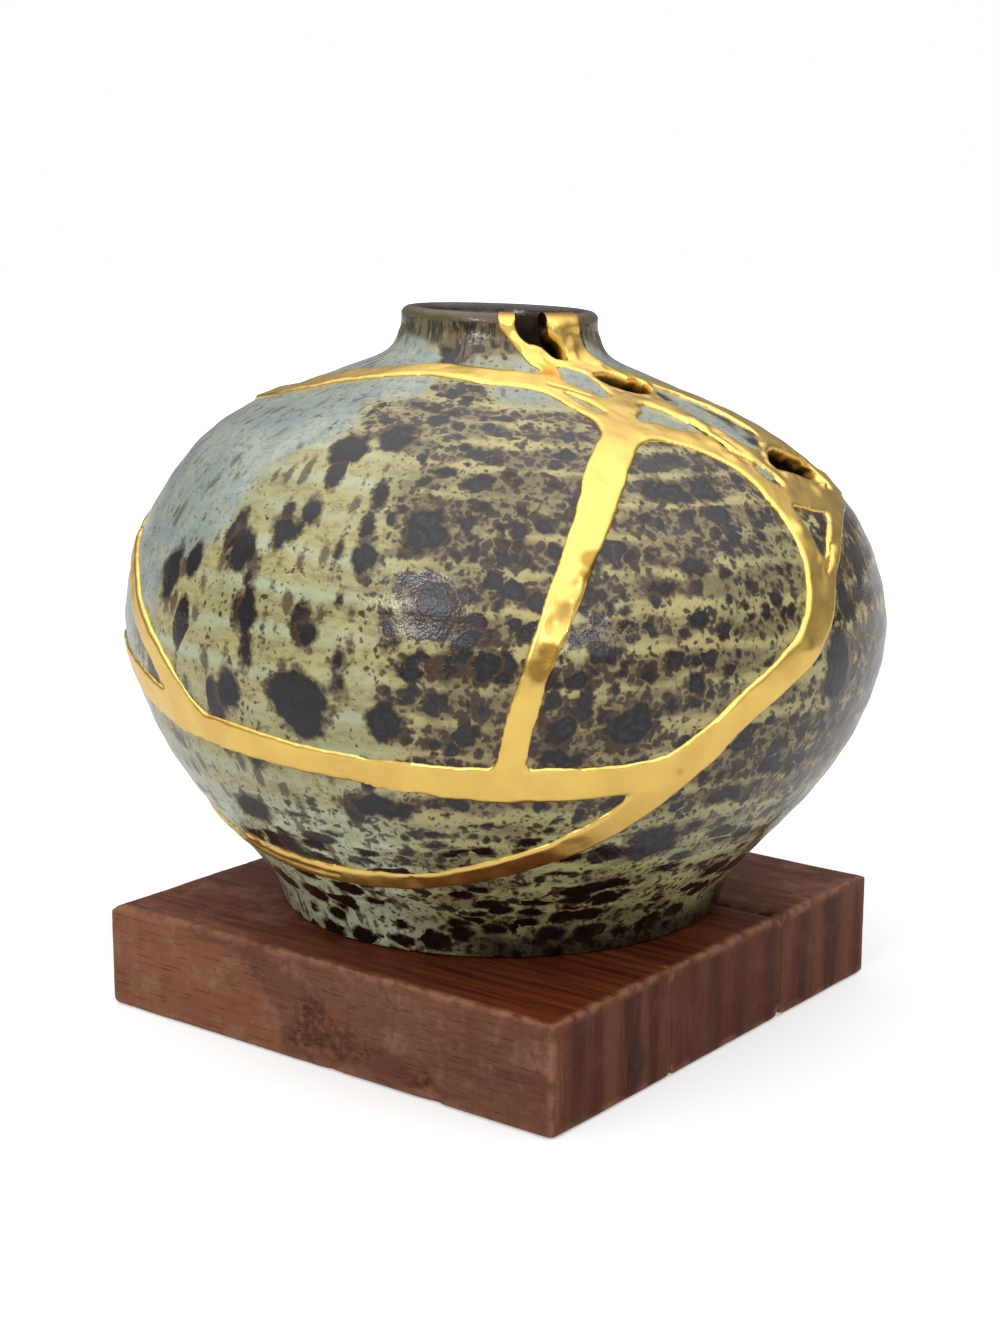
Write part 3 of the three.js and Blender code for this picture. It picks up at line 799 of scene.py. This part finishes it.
def build_board(name, y_low, y_high, seed):
    x_low = PLINTH_CENTRE[0] - PLINTH_LENGTH / 2
    sides = [(x_low, x_low + PLINTH_LENGTH), (y_low, y_high), (0, PLINTH_HEIGHT)]
    steps = [axis_steps(low, high, step, FINE_EDGE) for (low, high), step in zip(sides, BOARD_STEPS)]
    flat, polygons = box_sheets(*steps)
    x, y, z = flat.T
    top = (z > PLINTH_HEIGHT - TINY).astype(float)
    end = ((x < sides[0][0] + TINY) | (x > sides[0][1] - TINY)).astype(float)
    wear = 0.35 * noise(flat, 7, 60 + seed)
    above, below = BOARD_EDGES[name]
    radii = [np.where(z > PLINTH_HEIGHT / 2, *pair) for pair in zip(above, below)]
    y, z = rounded(y, z, sides[1], sides[2], [radius * (1 + 0.4 * wear) for radius in radii])
    left, right = [np.where(z > PLINTH_HEIGHT / 2, *pair) for pair in zip(*BOARD_END_RADII)]
    x, z = rounded(x, z, sides[0], sides[2], (left + wear, right + 0.3 * wear))
    last = len(BOARD_WIDTHS) - 1
    corner = [OUTER_CORNER_RADIUS if seed == outer else JOINT_RADIUS for outer in (0, last)]
    y, x = rounded(y, x, sides[1], sides[0], corner)
    shaped = np.stack([x, y, z], 1)
    lows, highs = np.transpose(sides)
    normal = shaped - np.clip(shaped, lows + CORE_DEPTH, highs - CORE_DEPTH)
    normal /= np.maximum(np.linalg.norm(normal, axis=1), 1e-9)[:, None]
    grain = 0.04 * noise(flat * [0.08, 1, 1], 1.7, 63 + seed)
    grain = grain + 0.07 * noise(flat * [0.05, 1, 1], 5, 64 + seed)
    torn = torn_grain(flat, y_low) if seed == 0 else np.zeros(len(flat))
    pits = torn * (0.5 + 0.7 * noise(flat, 2.4, 72) + 0.4 * noise(flat, 1.2, 73))
    at_joint = (y - y_low < TINY) & (seed > 0) | (y_high - y < TINY) & (seed < last)
    depth = np.where(at_joint | (z < TINY), 0, np.abs(grain) + np.clip(pits, 0, 1.4) * 1.1)
    shaped = shaped - normal * depth[:, None]
    shaped[:, 2] = np.clip(shaped[:, 2], 0, PLINTH_HEIGHT)
    on_front = near_front(flat, y_low) * (seed == 0)
    faded_to = np.interp(flat[:, 2], *zip(*FADED_EDGE)) + 0.8 * noise(flat, 3, 74)
    faded = on_front * smoothstep(faded_to - flat[:, 0], -0.6, 0.6)
    from_sides = np.stack([np.minimum(v - low, high - v) for v, (low, high) in zip(flat.T, sides)], 1)
    # Pale along the edges: wear, and a painted highlight on the lit edges
    wear_and_edge_highlight = 1 - smoothstep(np.sort(from_sides, 1)[:, 1] + 0.5 * noise(flat, 5, 76), 0.2, 1.8)
    # Away from the front and the back only the edges of the ends are pale with wear and painted highlight,
    # and not the joints
    between_faces = np.abs(flat[:, 1] - PLINTH_CENTRE[1]) < 50
    at_end_edge = np.sort(from_sides[:, ::2], 1)[:, 1] < 2.5
    wear_and_edge_highlight = np.where(between_faces, wear_and_edge_highlight * at_end_edge, wear_and_edge_highlight)
    knot = np.hypot((flat[:, 1] - KNOT[0]) / 3.2, (flat[:, 2] - KNOT[1]) / 6) + 0.25 * noise(flat, 3, 75)
    stain = end * (flat[:, 0] > 0) * (1 - smoothstep(knot, 0.5, 1.1))
    # Painted shade in the groove along the joint of the middle and back boards, near their top
    back_joint = {1: y_high, 2: y_low}.get(seed, y_high + FAR_AWAY)
    groove = (1 - smoothstep(np.abs(flat[:, 1] - back_joint), 0.3, 2.6)) * smoothstep(flat[:, 2], 17, 20)
    darker_top = top * smoothstep(flat[:, 0] + 12 * noise(flat, 20, 77), -30, 10) * (seed < 2)
    piece = make_mesh(name + "_wood", shaped, polygons, {
        "top": top, "end": end, "torn": torn, "faded": faded, "stain": stain, "wear_and_edge_highlight": wear_and_edge_highlight,
        "groove": groove, "darker_top": darker_top, "board": np.full(len(flat), float(seed)),
    })
    clean(piece, BOARD_SHARP)
    return piece


def build_boards():
    made = {}
    low = PLINTH_CENTRE[1] - sum(BOARD_WIDTHS.values()) / 2
    for seed, (name, width) in enumerate(BOARD_WIDTHS.items()):
        front = low + (PIECE_GAP if seed == 0 else JOINT_GAP) / 2
        is_last = seed == len(BOARD_WIDTHS) - 1
        back = low + width - (PIECE_GAP if is_last else JOINT_GAP) / 2
        made[name] = build_board(name, front, back, seed)
        low += width
    return made


# Materials

class Nodes:
    """Short names for the nodes of one material, or of the world."""

    def __init__(self, owner, shader="Principled BSDF"):
        owner.use_nodes = True
        self.owner = owner
        self.tree = owner.node_tree
        self.shader = self.tree.nodes[shader]

    def finished(self, looks):
        """The material or world, with these inputs of its shader set."""
        for key, value in looks.items():
            self.put(self.shader.inputs[key], value)
        return self.owner

    def node(self, kind, inputs=(), **settings):
        made = self.tree.nodes.new(kind)
        for key, value in settings.items():
            setattr(made, key, value)
        for key, value in dict(inputs).items():
            self.put(made.inputs[key], value)
        return made

    def put(self, socket, value):
        if isinstance(value, bpy.types.NodeSocket):
            self.tree.links.new(value, socket)
        else:
            socket.default_value = value

    def math(self, operation, *values):
        return self.node("ShaderNodeMath", enumerate(values), operation=operation).outputs[0]

    def vector(self, operation, first, second):
        return self.node("ShaderNodeVectorMath", {0: first, 1: second}, operation=operation).outputs[0]

    def add(self, first, *others):
        for other in others:
            first = self.math("ADD", first, other)
        return first

    def times(self, first, *others):
        for other in others:
            first = self.math("MULTIPLY", first, other)
        return first

    def rest(self, value):
        return self.math("SUBTRACT", 1.0, value)

    def attribute(self, name):
        return self.node("ShaderNodeAttribute", attribute_name=name).outputs["Fac"]

    def step(self, value, low, high, to_low=0.0, to_high=1.0):
        inputs = {"Value": value, "From Min": low, "From Max": high, "To Min": to_low, "To Max": to_high}
        return self.node("ShaderNodeMapRange", inputs, interpolation_type="SMOOTHSTEP").outputs["Result"]

    def mix(self, amount, a, b):
        made = self.tree.nodes.new("ShaderNodeMix")
        made.data_type = "RGBA"
        for index, value in ((0, amount), (6, a), (7, b)):
            self.put(made.inputs[index], value)
        return made.outputs[2]

    def veil(self, colour, tint, value, low, high, most=1.0):
        """A colour under a tint that comes in as value goes from low to high."""
        return self.mix(self.step(value, low, high, 0.0, most), colour, tint)

    def place(self, scale):
        """The object's own coordinates in mm, times a scale on each axis."""
        where = self.node("ShaderNodeTexCoord").outputs["Object"]
        scale = tuple(1000 * s for s in scale)
        return self.node("ShaderNodeMapping", {"Vector": where, "Scale": scale}).outputs["Vector"]

    def on_wall(self, scale):
        """The glaze's own coordinates in mm, round the wall and up it, times a scale on each axis."""
        where = self.node("ShaderNodeAttribute", attribute_name="wall").outputs["Vector"]
        return self.node("ShaderNodeMapping", {"Vector": where, "Scale": scale}).outputs["Vector"]

    def warped(self, where, size, amount):
        """Coordinates pushed about by noise, so that what is drawn in them has no straight edges."""
        push = self.node("ShaderNodeTexNoise", {"Vector": where, "Scale": 1 / size, "Detail": 1.0})
        push = self.vector("SUBTRACT", push.outputs["Color"], (0.5, 0.5, 0.5))
        push = self.node("ShaderNodeVectorMath", {0: push, "Scale": amount}, operation="SCALE")
        return self.vector("ADD", where, push.outputs[0])

    def noise(self, where, size, detail=2.0, roughness=0.5):
        inputs = {"Vector": where, "Scale": 1 / size, "Detail": detail, "Roughness": roughness}
        return self.node("ShaderNodeTexNoise", inputs).outputs["Fac"]

    def cells(self, where, size):
        """Distance in mm to the nearest of scattered points, and a number for each point."""
        made = self.node("ShaderNodeTexVoronoi", {"Vector": where, "Scale": 1 / size})
        near = self.math("MULTIPLY", made.outputs["Distance"], size)
        number = self.node("ShaderNodeSeparateColor", {"Color": made.outputs["Color"]}).outputs
        return near, number["Red"], number["Green"]

    def bump(self, height, strength, distance):
        inputs = {"Height": height, "Strength": strength, "Distance": distance}
        return self.node("ShaderNodeBump", inputs).outputs["Normal"]


def rgb(red, green, blue):
    """A colour as seen on a screen, from 0 to 255, as the shader's own numbers."""
    return (*[((c / 255 + 0.055) / 1.055) ** 2.4 if c > 10 else c / 3294 for c in (red, green, blue)], 1.0)


def spots(n, where, size, radii, amount, wobble, keep=0.0):
    """Round spots of many sizes, scaled by amount: the distance in mm inward from a spot's edge."""
    near, number, second = n.cells(where, size)
    share = n.step(number, keep, keep + 0.05) if keep else 1.0
    radius = n.add(n.times(second, radii[1] - radii[0]), radii[0])
    return n.math("SUBTRACT", n.times(radius, amount, share), n.add(near, wobble))


def glaze_material():
    n = Nodes(bpy.data.materials.new("speckled_glaze"))
    where = n.place((1, 1, 1))
    tall, flat = n.on_wall((1, 1, 0.42)), n.on_wall((0.5, 0.5, 1))
    curled = n.warped(where, 2.4, 2.2)
    fine, middle, broad = n.noise(where, 0.8, 3), n.noise(where, 2.6, 3), n.noise(where, 13, 2)
    fine_swing, middle_swing = n.add(fine, -0.5), n.add(middle, -0.5)
    names = ("ring", "spot", "pale", "brown", "left", "right", "neck", "low", "foot", "inside")
    ring, spot, pale, brown, left, right, neck, low, foot, inside = map(n.attribute, names)

    # Ground colour, paler along the throwing rings
    colour = n.mix(n.step(broad, 0.35, 0.65), rgb(164, 156, 108), rgb(148, 146, 102))
    colour = n.veil(colour, rgb(116, 102, 60), n.noise(flat, 1.1, 4, 0.6), 0.42, 0.7, 0.6)
    away = n.math("ABSOLUTE", n.add(n.math("FRACT", n.add(ring, 0.5)), -0.5))
    stray = n.times(n.add(n.noise(flat, 4.5, 3), -0.5), 4.6)
    away = n.add(n.times(away, RING_PITCH), stray, n.times(fine_swing, 1.2))
    line = n.times(n.step(away, 2.3, 0.1), n.step(n.noise(flat, 9, 3), 0.34, 0.6, 0.2, 1.0))
    line_colour = n.mix(left, rgb(170, 158, 106), rgb(166, 177, 150))
    colour = n.mix(n.times(line, 0.78), colour, line_colour)
    # Painted light: the low left's pale aqua-green glaze is made paler still, as if lit from the floor
    # below
    low_colour = n.mix(left, rgb(168, 168, 118), rgb(200, 211, 184))
    low_colour = n.veil(low_colour, rgb(146, 146, 100), middle, 0.4, 0.75, 0.8)
    colour = n.mix(n.times(low, 0.65), colour, low_colour)

    # Ash: grey-green and blue-grey, mottled
    ash = n.step(n.add(pale, n.times(middle_swing, 0.5), n.times(fine_swing, 0.3)), 0.12, 0.82)
    ash_colour = n.mix(n.step(broad, 0.3, 0.7), rgb(132, 142, 132), rgb(156, 162, 148))
    ash_colour = n.veil(ash_colour, rgb(120, 138, 142), n.noise(where, 5, 3), 0.48, 0.66, 0.6)
    ash_colour = n.veil(ash_colour, rgb(98, 110, 104), n.noise(where, 1.3, 4, 0.65), 0.46, 0.66, 0.4)
    ash_colour = n.veil(ash_colour, rgb(92, 98, 92), n.noise(where, 2.4, 3), 0.56, 0.7, 0.6)
    colour = n.mix(ash, colour, ash_colour)
    few = n.rest(n.times(ash, 0.86))

    # Brown haze, three sizes of dots, and blots, thickest between the rings
    amount = n.times(brown, n.rest(n.times(line, 0.55)), few)
    haze = n.add(n.times(n.noise(flat, 4.5, 3), 0.6), n.times(n.noise(flat, 1.4, 4, 0.65), 0.4))
    haze = n.add(haze, n.times(amount, 0.5))
    haze_colour = n.mix(n.step(fine, 0.3, 0.7), rgb(92, 73, 56), rgb(70, 53, 43))
    colour = n.veil(colour, haze_colour, haze, 0.7, 1.0, 0.62)
    wobble = n.add(n.times(fine_swing, 1.2), n.times(middle_swing, 0.9))
    for size, radii, share, tint in (
            (1.2, (0.1, 0.6), 0.95, rgb(70, 53, 42)), (2.3, (0.2, 1.2), 1.0, rgb(60, 45, 37)),
            (1.8, (0.2, 0.95), 1.0, rgb(56, 42, 36))):
        dots = n.add(n.times(amount, share, 1.13), n.times(left, few, 0.1))
        dot = spots(n, curled, size, radii, dots, wobble)
        colour = n.veil(colour, tint, dot, -0.25, 0.2, 0.92)
    for size, radii in ((4.4, (0.4, 2.3)), (3.3, (0.2, 1.7))):
        blot = spots(n, curled, size, radii, n.times(amount, 1.2), wobble)
        colour = n.veil(colour, rgb(52, 40, 34), blot, -0.45, 0.2, 0.9)
        dark = n.mix(n.step(blot, 0.4, 1.1), rgb(32, 26, 24), rgb(38, 41, 46))
        colour = n.veil(colour, dark, blot, 0.0, 0.55)

    # Long spots that ran down the wall, few on the left and many on the right
    ran = n.times(left, few, n.rest(n.times(low, 0.7)))
    streak = spots(n, tall, 4.6, (0.6, 2.5), ran, wobble, 0.45)
    fleck = spots(n, tall, 2.3, (0.2, 1.15), n.times(n.add(left, right), few), wobble, 0.25)
    smear = spots(n, n.warped(tall, 3.0, 2.0), 3.3, (0.8, 2.2), n.times(right, few), wobble, 0.1)
    smeared = n.times(ash, n.step(n.noise(where, 8, 2), 0.42, 0.58))
    ash_smear = spots(n, tall, 3.0, (0.3, 1.4), smeared, wobble, 0.25)
    colour = n.veil(colour, rgb(82, 76, 62), ash_smear, -0.5, 0.5, 0.75)
    colour = n.veil(colour, rgb(78, 58, 40), fleck, -0.35, 0.35, 0.85)
    for run, dark in ((streak, rgb(34, 28, 26)), (smear, rgb(48, 45, 44))):
        colour = n.veil(colour, rgb(86, 65, 43), run, -0.4, 0.1, 0.8)
        colour = n.veil(colour, dark, run, -0.05, 0.4)
    foot_spot = spots(n, n.warped(flat, 2.4, 2.0), 3.9, (0.9, 2.6), low, wobble, 0.18)
    colour = n.veil(colour, rgb(78, 60, 42), foot_spot, -0.5, 0.1, 0.8)
    colour = n.veil(colour, rgb(15, 12, 11), foot_spot, -0.05, 0.35)

    # The largest spots, with brown rims and slate middles
    edge = n.add(spot, n.times(n.add(n.noise(where, 4.5, 2), -0.5), 5.0))
    edge = n.add(edge, n.times(middle_swing, 3.0), n.times(fine_swing, 1.3))
    great = n.step(edge, 0.2, -0.5)
    colour = n.veil(colour, rgb(74, 56, 41), edge, 1.2, 0.0, 0.8)
    slate = n.mix(left, rgb(44, 47, 53), rgb(32, 32, 36))
    slate = n.mix(n.step(n.noise(where, 1.1, 4, 0.65), 0.4, 0.62), rgb(24, 23, 25), slate)
    colour = n.mix(great, colour, n.mix(n.step(edge, -0.3, -1.7), rgb(30, 24, 22), slate))

    # The dark collar, the foot's dark glaze with painted contact shade, and the inside
    collar = n.mix(n.step(n.noise(tall, 2.6, 4, 0.6), 0.42, 0.6), rgb(104, 92, 64), rgb(36, 28, 23))
    collar = n.veil(collar, rgb(132, 122, 98), n.noise(flat, 2.0, 3), 0.56, 0.7, 0.6)
    colour = n.mix(n.times(neck, 0.92), colour, collar)
    # Painted contact shade over the foot's dark glaze
    foot_glaze_and_painted_shade = n.mix(n.step(middle, 0.4, 0.7), rgb(12, 9, 7), rgb(44, 35, 22))
    colour = n.mix(n.times(foot, 0.92), colour, foot_glaze_and_painted_shade)
    within = n.mix(n.step(middle, 0.3, 0.7), rgb(36, 30, 27), rgb(58, 46, 34))
    colour = n.veil(colour, within, inside, 0.35, 0.75)

    skin = n.add(n.times(n.noise(where, 0.5, 2), 0.5), n.times(middle, 0.9), n.times(great, 0.3))
    return n.finished({
        "Base Color": colour,
        "Roughness": n.add(0.13, n.times(great, 0.10), n.times(fine, 0.14)),
        "Normal": n.bump(skin, 0.5, 0.00025),
        "Specular IOR Level": 0.42,
    })


def gold_material():
    n = Nodes(bpy.data.materials.new("mending_gold"))
    where = n.place((1, 1, 1))
    fine, patches = n.noise(where, 0.7, 3), n.noise(where, 2.2, 4, 0.65)
    painted_shade_depth = n.attribute("painted_shade_depth")
    colour = n.mix(n.step(n.noise(where, 9, 2), 0.35, 0.65), (0.91, 0.62, 0.16, 1), (0.84, 0.545, 0.145, 1))
    # Dark amber painted reflections where thin is high, broken up by random patches
    thin = n.add(n.attribute("thin"), n.times(n.add(patches, -0.5), 0.5))
    colour = n.veil(colour, (0.36, 0.2, 0.04, 1), thin, 0.25, 0.8, 0.9)
    colour = n.veil(colour, (0.62, 0.35, 0.09, 1), patches, 0.64, 0.76, 0.3)
    # Painted shade: brown, then near black, into the hollows and inside the wall
    colour = n.veil(colour, (0.32, 0.16, 0.03, 1), painted_shade_depth, 0.08, 0.32, 0.8)
    colour = n.veil(colour, (0.03, 0.015, 0.004, 1), painted_shade_depth, 0.2, 0.6, 0.97)
    height = n.add(n.noise(where, 2.4, 2), n.times(fine, 0.25))
    return n.finished({
        "Base Color": colour,
        "Metallic": 1.0,
        "Roughness": n.add(0.2, n.times(n.noise(where, 3.5, 3), 0.22), n.times(painted_shade_depth, 0.3)),
        "Normal": n.bump(height, 0.25, 0.0002),
    })


def wood_material():
    n = Nodes(bpy.data.materials.new("red_hardwood"))
    where = n.place((1, 1, 1))
    names = ("board", "top", "end", "torn", "faded", "stain", "wear_and_edge_highlight", "groove", "darker_top")
    board, top, end, torn, faded, stain, wear_and_edge_highlight, groove, darker_top = map(n.attribute, names)
    offset = n.node("ShaderNodeCombineXYZ", {"X": n.times(board, 37.0), "Y": board}).outputs[0]
    along = n.vector("ADD", n.place((0.045, 1, 1)), offset)
    upright = n.place((1, 1, 0.07))
    streak, wide = n.noise(along, 1.6, 5, 0.6), n.noise(along, 7, 3)
    pore = n.noise(n.place((0.16, 2.2, 2.2)), 1.0, 2)
    fine, middle, broad = n.noise(where, 0.8, 3), n.noise(where, 3, 3), n.noise(where, 15, 3)

    # The sawn front face: dusty, with upright saw marks and a paler patch
    face = n.mix(n.step(streak, 0.3, 0.7), rgb(86, 46, 30), rgb(116, 70, 47))
    face = n.veil(face, rgb(106, 60, 42), wide, 0.35, 0.7, 0.5)
    face = n.veil(face, rgb(130, 86, 60), broad, 0.4, 0.62, 0.4)
    face = n.veil(face, rgb(82, 46, 32), n.noise(upright, 1.8, 4, 0.6), 0.45, 0.65, 0.35)
    face = n.mix(n.times(n.rest(faded), 0.35), face, rgb(84, 54, 42))
    face = n.mix(n.times(faded, 0.35), face, rgb(142, 92, 64))
    # The planed top, darker from its middle to the right end on the front and middle boards
    planed = n.mix(n.step(streak, 0.3, 0.7), rgb(72, 28, 14), rgb(114, 62, 39))
    planed = n.veil(planed, rgb(122, 72, 46), wide, 0.5, 0.7, 0.5)
    darker_top_colour = n.mix(n.step(streak, 0.3, 0.7), rgb(54, 14, 4), rgb(96, 42, 18))
    planed = n.mix(n.times(darker_top, 0.85), planed, darker_top_colour)
    colour = n.mix(top, face, planed)
    # The ends, in upright bands
    bands = n.mix(n.step(n.noise(upright, 6, 3), 0.36, 0.62), rgb(66, 27, 12), rgb(98, 54, 33))
    bands = n.veil(bands, rgb(122, 84, 62), n.noise(upright, 1.3, 4, 0.6), 0.58, 0.72, 0.45)
    middle_board = n.times(n.step(board, 0.4, 0.6), n.step(board, 1.6, 1.4))
    bands = n.mix(n.times(middle_board, 0.5), bands, rgb(72, 29, 18))
    bands = n.veil(bands, rgb(56, 29, 20), fine, 0.45, 0.75, 0.5)
    bands = n.mix(n.times(stain, 0.8), bands, rgb(42, 22, 24))
    colour = n.mix(end, colour, bands)
    pores = n.times(n.step(pore, 0.56, 0.68), n.rest(n.times(end, 0.9)), 0.5)
    colour = n.mix(pores, colour, rgb(46, 18, 11))
    crumbs = n.noise(where, 1.7, 3, 0.6)
    colour = n.mix(n.times(torn, n.step(crumbs, 0.42, 0.58, 0.6, 0.1)), colour, rgb(66, 32, 21))
    colour = n.mix(n.times(torn, n.step(crumbs, 0.52, 0.64, 0, 0.5)), colour, rgb(128, 76, 52))
    # Painted shade in the groove between the middle and back boards
    colour = n.mix(n.times(groove, 0.8), colour, rgb(34, 9, 5))

    # Dust, and pale wood along the edges: wear and a painted highlight on the lit edges
    dust = n.times(n.step(n.noise(where, 8, 4, 0.7), 0.48, 0.66), n.step(fine, 0.35, 0.6, 0.4, 1.0))
    dust = n.times(dust, n.rest(torn), n.rest(n.times(end, 0.75)), n.rest(darker_top), 0.32)
    colour = n.mix(dust, colour, rgb(152, 118, 100))
    colour = n.mix(n.times(wear_and_edge_highlight, n.step(middle, 0.35, 0.6, 0.1, 0.55)), colour, rgb(150, 104, 80))

    height = n.add(n.times(streak, 0.6), n.times(pore, -0.5), n.times(fine, 0.35))
    height = n.add(height, n.times(torn, crumbs, 7.0))
    return n.finished({
        "Base Color": colour,
        "Roughness": n.add(0.5, n.times(streak, 0.12), n.times(top, -0.1)),
        "Normal": n.bump(height, 0.45, 0.0003),
        "Specular IOR Level": 0.16,
    })


# Building

SHARD_GRID = Grid(0.9, 0.6)
GOLD_GRID = Grid(0.42, 0.5)
GLAZE, GOLD, WOOD = glaze_material(), gold_material(), wood_material()


def dress(piece, node, material):
    piece.data.materials.append(material)
    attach(piece, "root")
    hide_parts(node)


for node, piece in build_shards(SHARD_GRID, *mend_fields(SHARD_GRID)).items():
    dress(piece, node, GLAZE)
dress(build_gold(GOLD_GRID, *mend_fields(GOLD_GRID)), "gold_repair", GOLD)
for node, piece in build_boards().items():
    dress(piece, node, WOOD)

# Floor, light and camera

FLOOR_RADIUS = 4.0
FLOOR_BELOW = 0.0002
# The floor's painted light: its glow near and far, the centre of its painted shadow, and how far each
# reaches
FLOOR_GLOW = (0.34, 0.8)
PAINTED_SHADOW_CENTRE = (0.039, 0.03, 0)
GLOW_REACH = (0.06, 0.3)
SKY_CENTRE = (0.02, -0.2, 0.98)
SKY_REACH = (0.15, 0.95)
SKY_RANGE = (0.22, 1.95)
TARGET = Vector((0, 0, 0.075))
CAMERA_PLACE = (0.2691, -0.3488, 0.1613)
CAMERA_LOOK = (-0.598, 0.773, -0.210)
CAMERA_ROLL = 0.002
CAMERA_LENS = 61.09
CAMERA_SENSOR = 36


def floor_material():
    """White, with a glow that only the camera sees: painted light, weaker near the plinth and weakest to
    its right, where it paints the plinth's soft shadow.
    """
    n = Nodes(bpy.data.materials.new("floor_white"))
    seen = n.node("ShaderNodeLightPath").outputs["Is Camera Ray"]
    where = n.node("ShaderNodeTexCoord").outputs["Object"]
    far = n.node("ShaderNodeVectorMath", {0: where, 1: PAINTED_SHADOW_CENTRE}, operation="DISTANCE").outputs["Value"]
    return n.finished({
        "Base Color": (0.62, 0.62, 0.62, 1),
        "Roughness": 0.8,
        "Specular IOR Level": 0.1,
        "Emission Color": (1, 1, 1, 1),
        "Emission Strength": n.times(seen, n.step(far, *GLOW_REACH, *FLOOR_GLOW)),
    })


bpy.ops.mesh.primitive_circle_add(
    vertices=96, radius=FLOOR_RADIUS, fill_type="NGON", location=(0, 0, -FLOOR_BELOW))
floor = bpy.context.object
floor.name = "floor"
floor.data.materials.append(floor_material())


def vase_direction(x, y, z):
    """A direction in the vase's own frame, in which the camera is near -Y, as one in the part's frame."""
    turn = Matrix.Rotation(math.radians(VASE_TURN), 3, "Z")
    return (turn @ Vector((x, y, z))).normalized()


def studio_world():
    """White all round, brightest above the front."""
    n = Nodes(bpy.data.worlds.new("studio"), "Background")
    where = n.node("ShaderNodeTexCoord").outputs["Generated"]
    centre = vase_direction(*SKY_CENTRE)
    toward = n.node("ShaderNodeVectorMath", {0: where, 1: centre}, operation="DOT_PRODUCT").outputs["Value"]
    seen = n.node("ShaderNodeLightPath").outputs["Is Camera Ray"]
    brightest = n.math("MAXIMUM", n.step(toward, *SKY_REACH, *SKY_RANGE), seen)
    return n.finished({"Color": (1, 1, 1, 1), "Strength": brightest})


bpy.context.scene.world = studio_world()


def softbox(name, direction, distance, size, power):
    """A square soft light, seen from the vase in that direction of the vase's own frame."""
    toward = vase_direction(*direction)
    lamp = bpy.data.lights.new(name, "AREA")
    lamp.size, lamp.energy = size, power
    piece = bpy.data.objects.new(name, lamp)
    bpy.context.scene.collection.objects.link(piece)
    piece.location = TARGET + toward * distance
    piece.rotation_euler = (-toward).to_track_quat("-Z", "Y").to_euler()


softbox("key", (-0.39, -0.79, 0.47), 1.1, 0.15, 2.2)
softbox("fill", (0.35, -0.88, 0.33), 1.1, 0.11, 0.8)

camera_data = bpy.data.cameras.new("camera")
camera_data.sensor_width = CAMERA_SENSOR
camera_data.lens = CAMERA_LENS
camera = bpy.data.objects.new("camera", camera_data)
bpy.context.scene.collection.objects.link(camera)
camera.location = CAMERA_PLACE
aim = Vector(CAMERA_LOOK).normalized().to_track_quat("-Z", "Y").to_matrix()
camera.rotation_euler = (aim @ Matrix.Rotation(CAMERA_ROLL, 3, "Z")).to_euler()
bpy.context.scene.camera = camera
bpy.context.scene.view_settings.view_transform = "Standard"
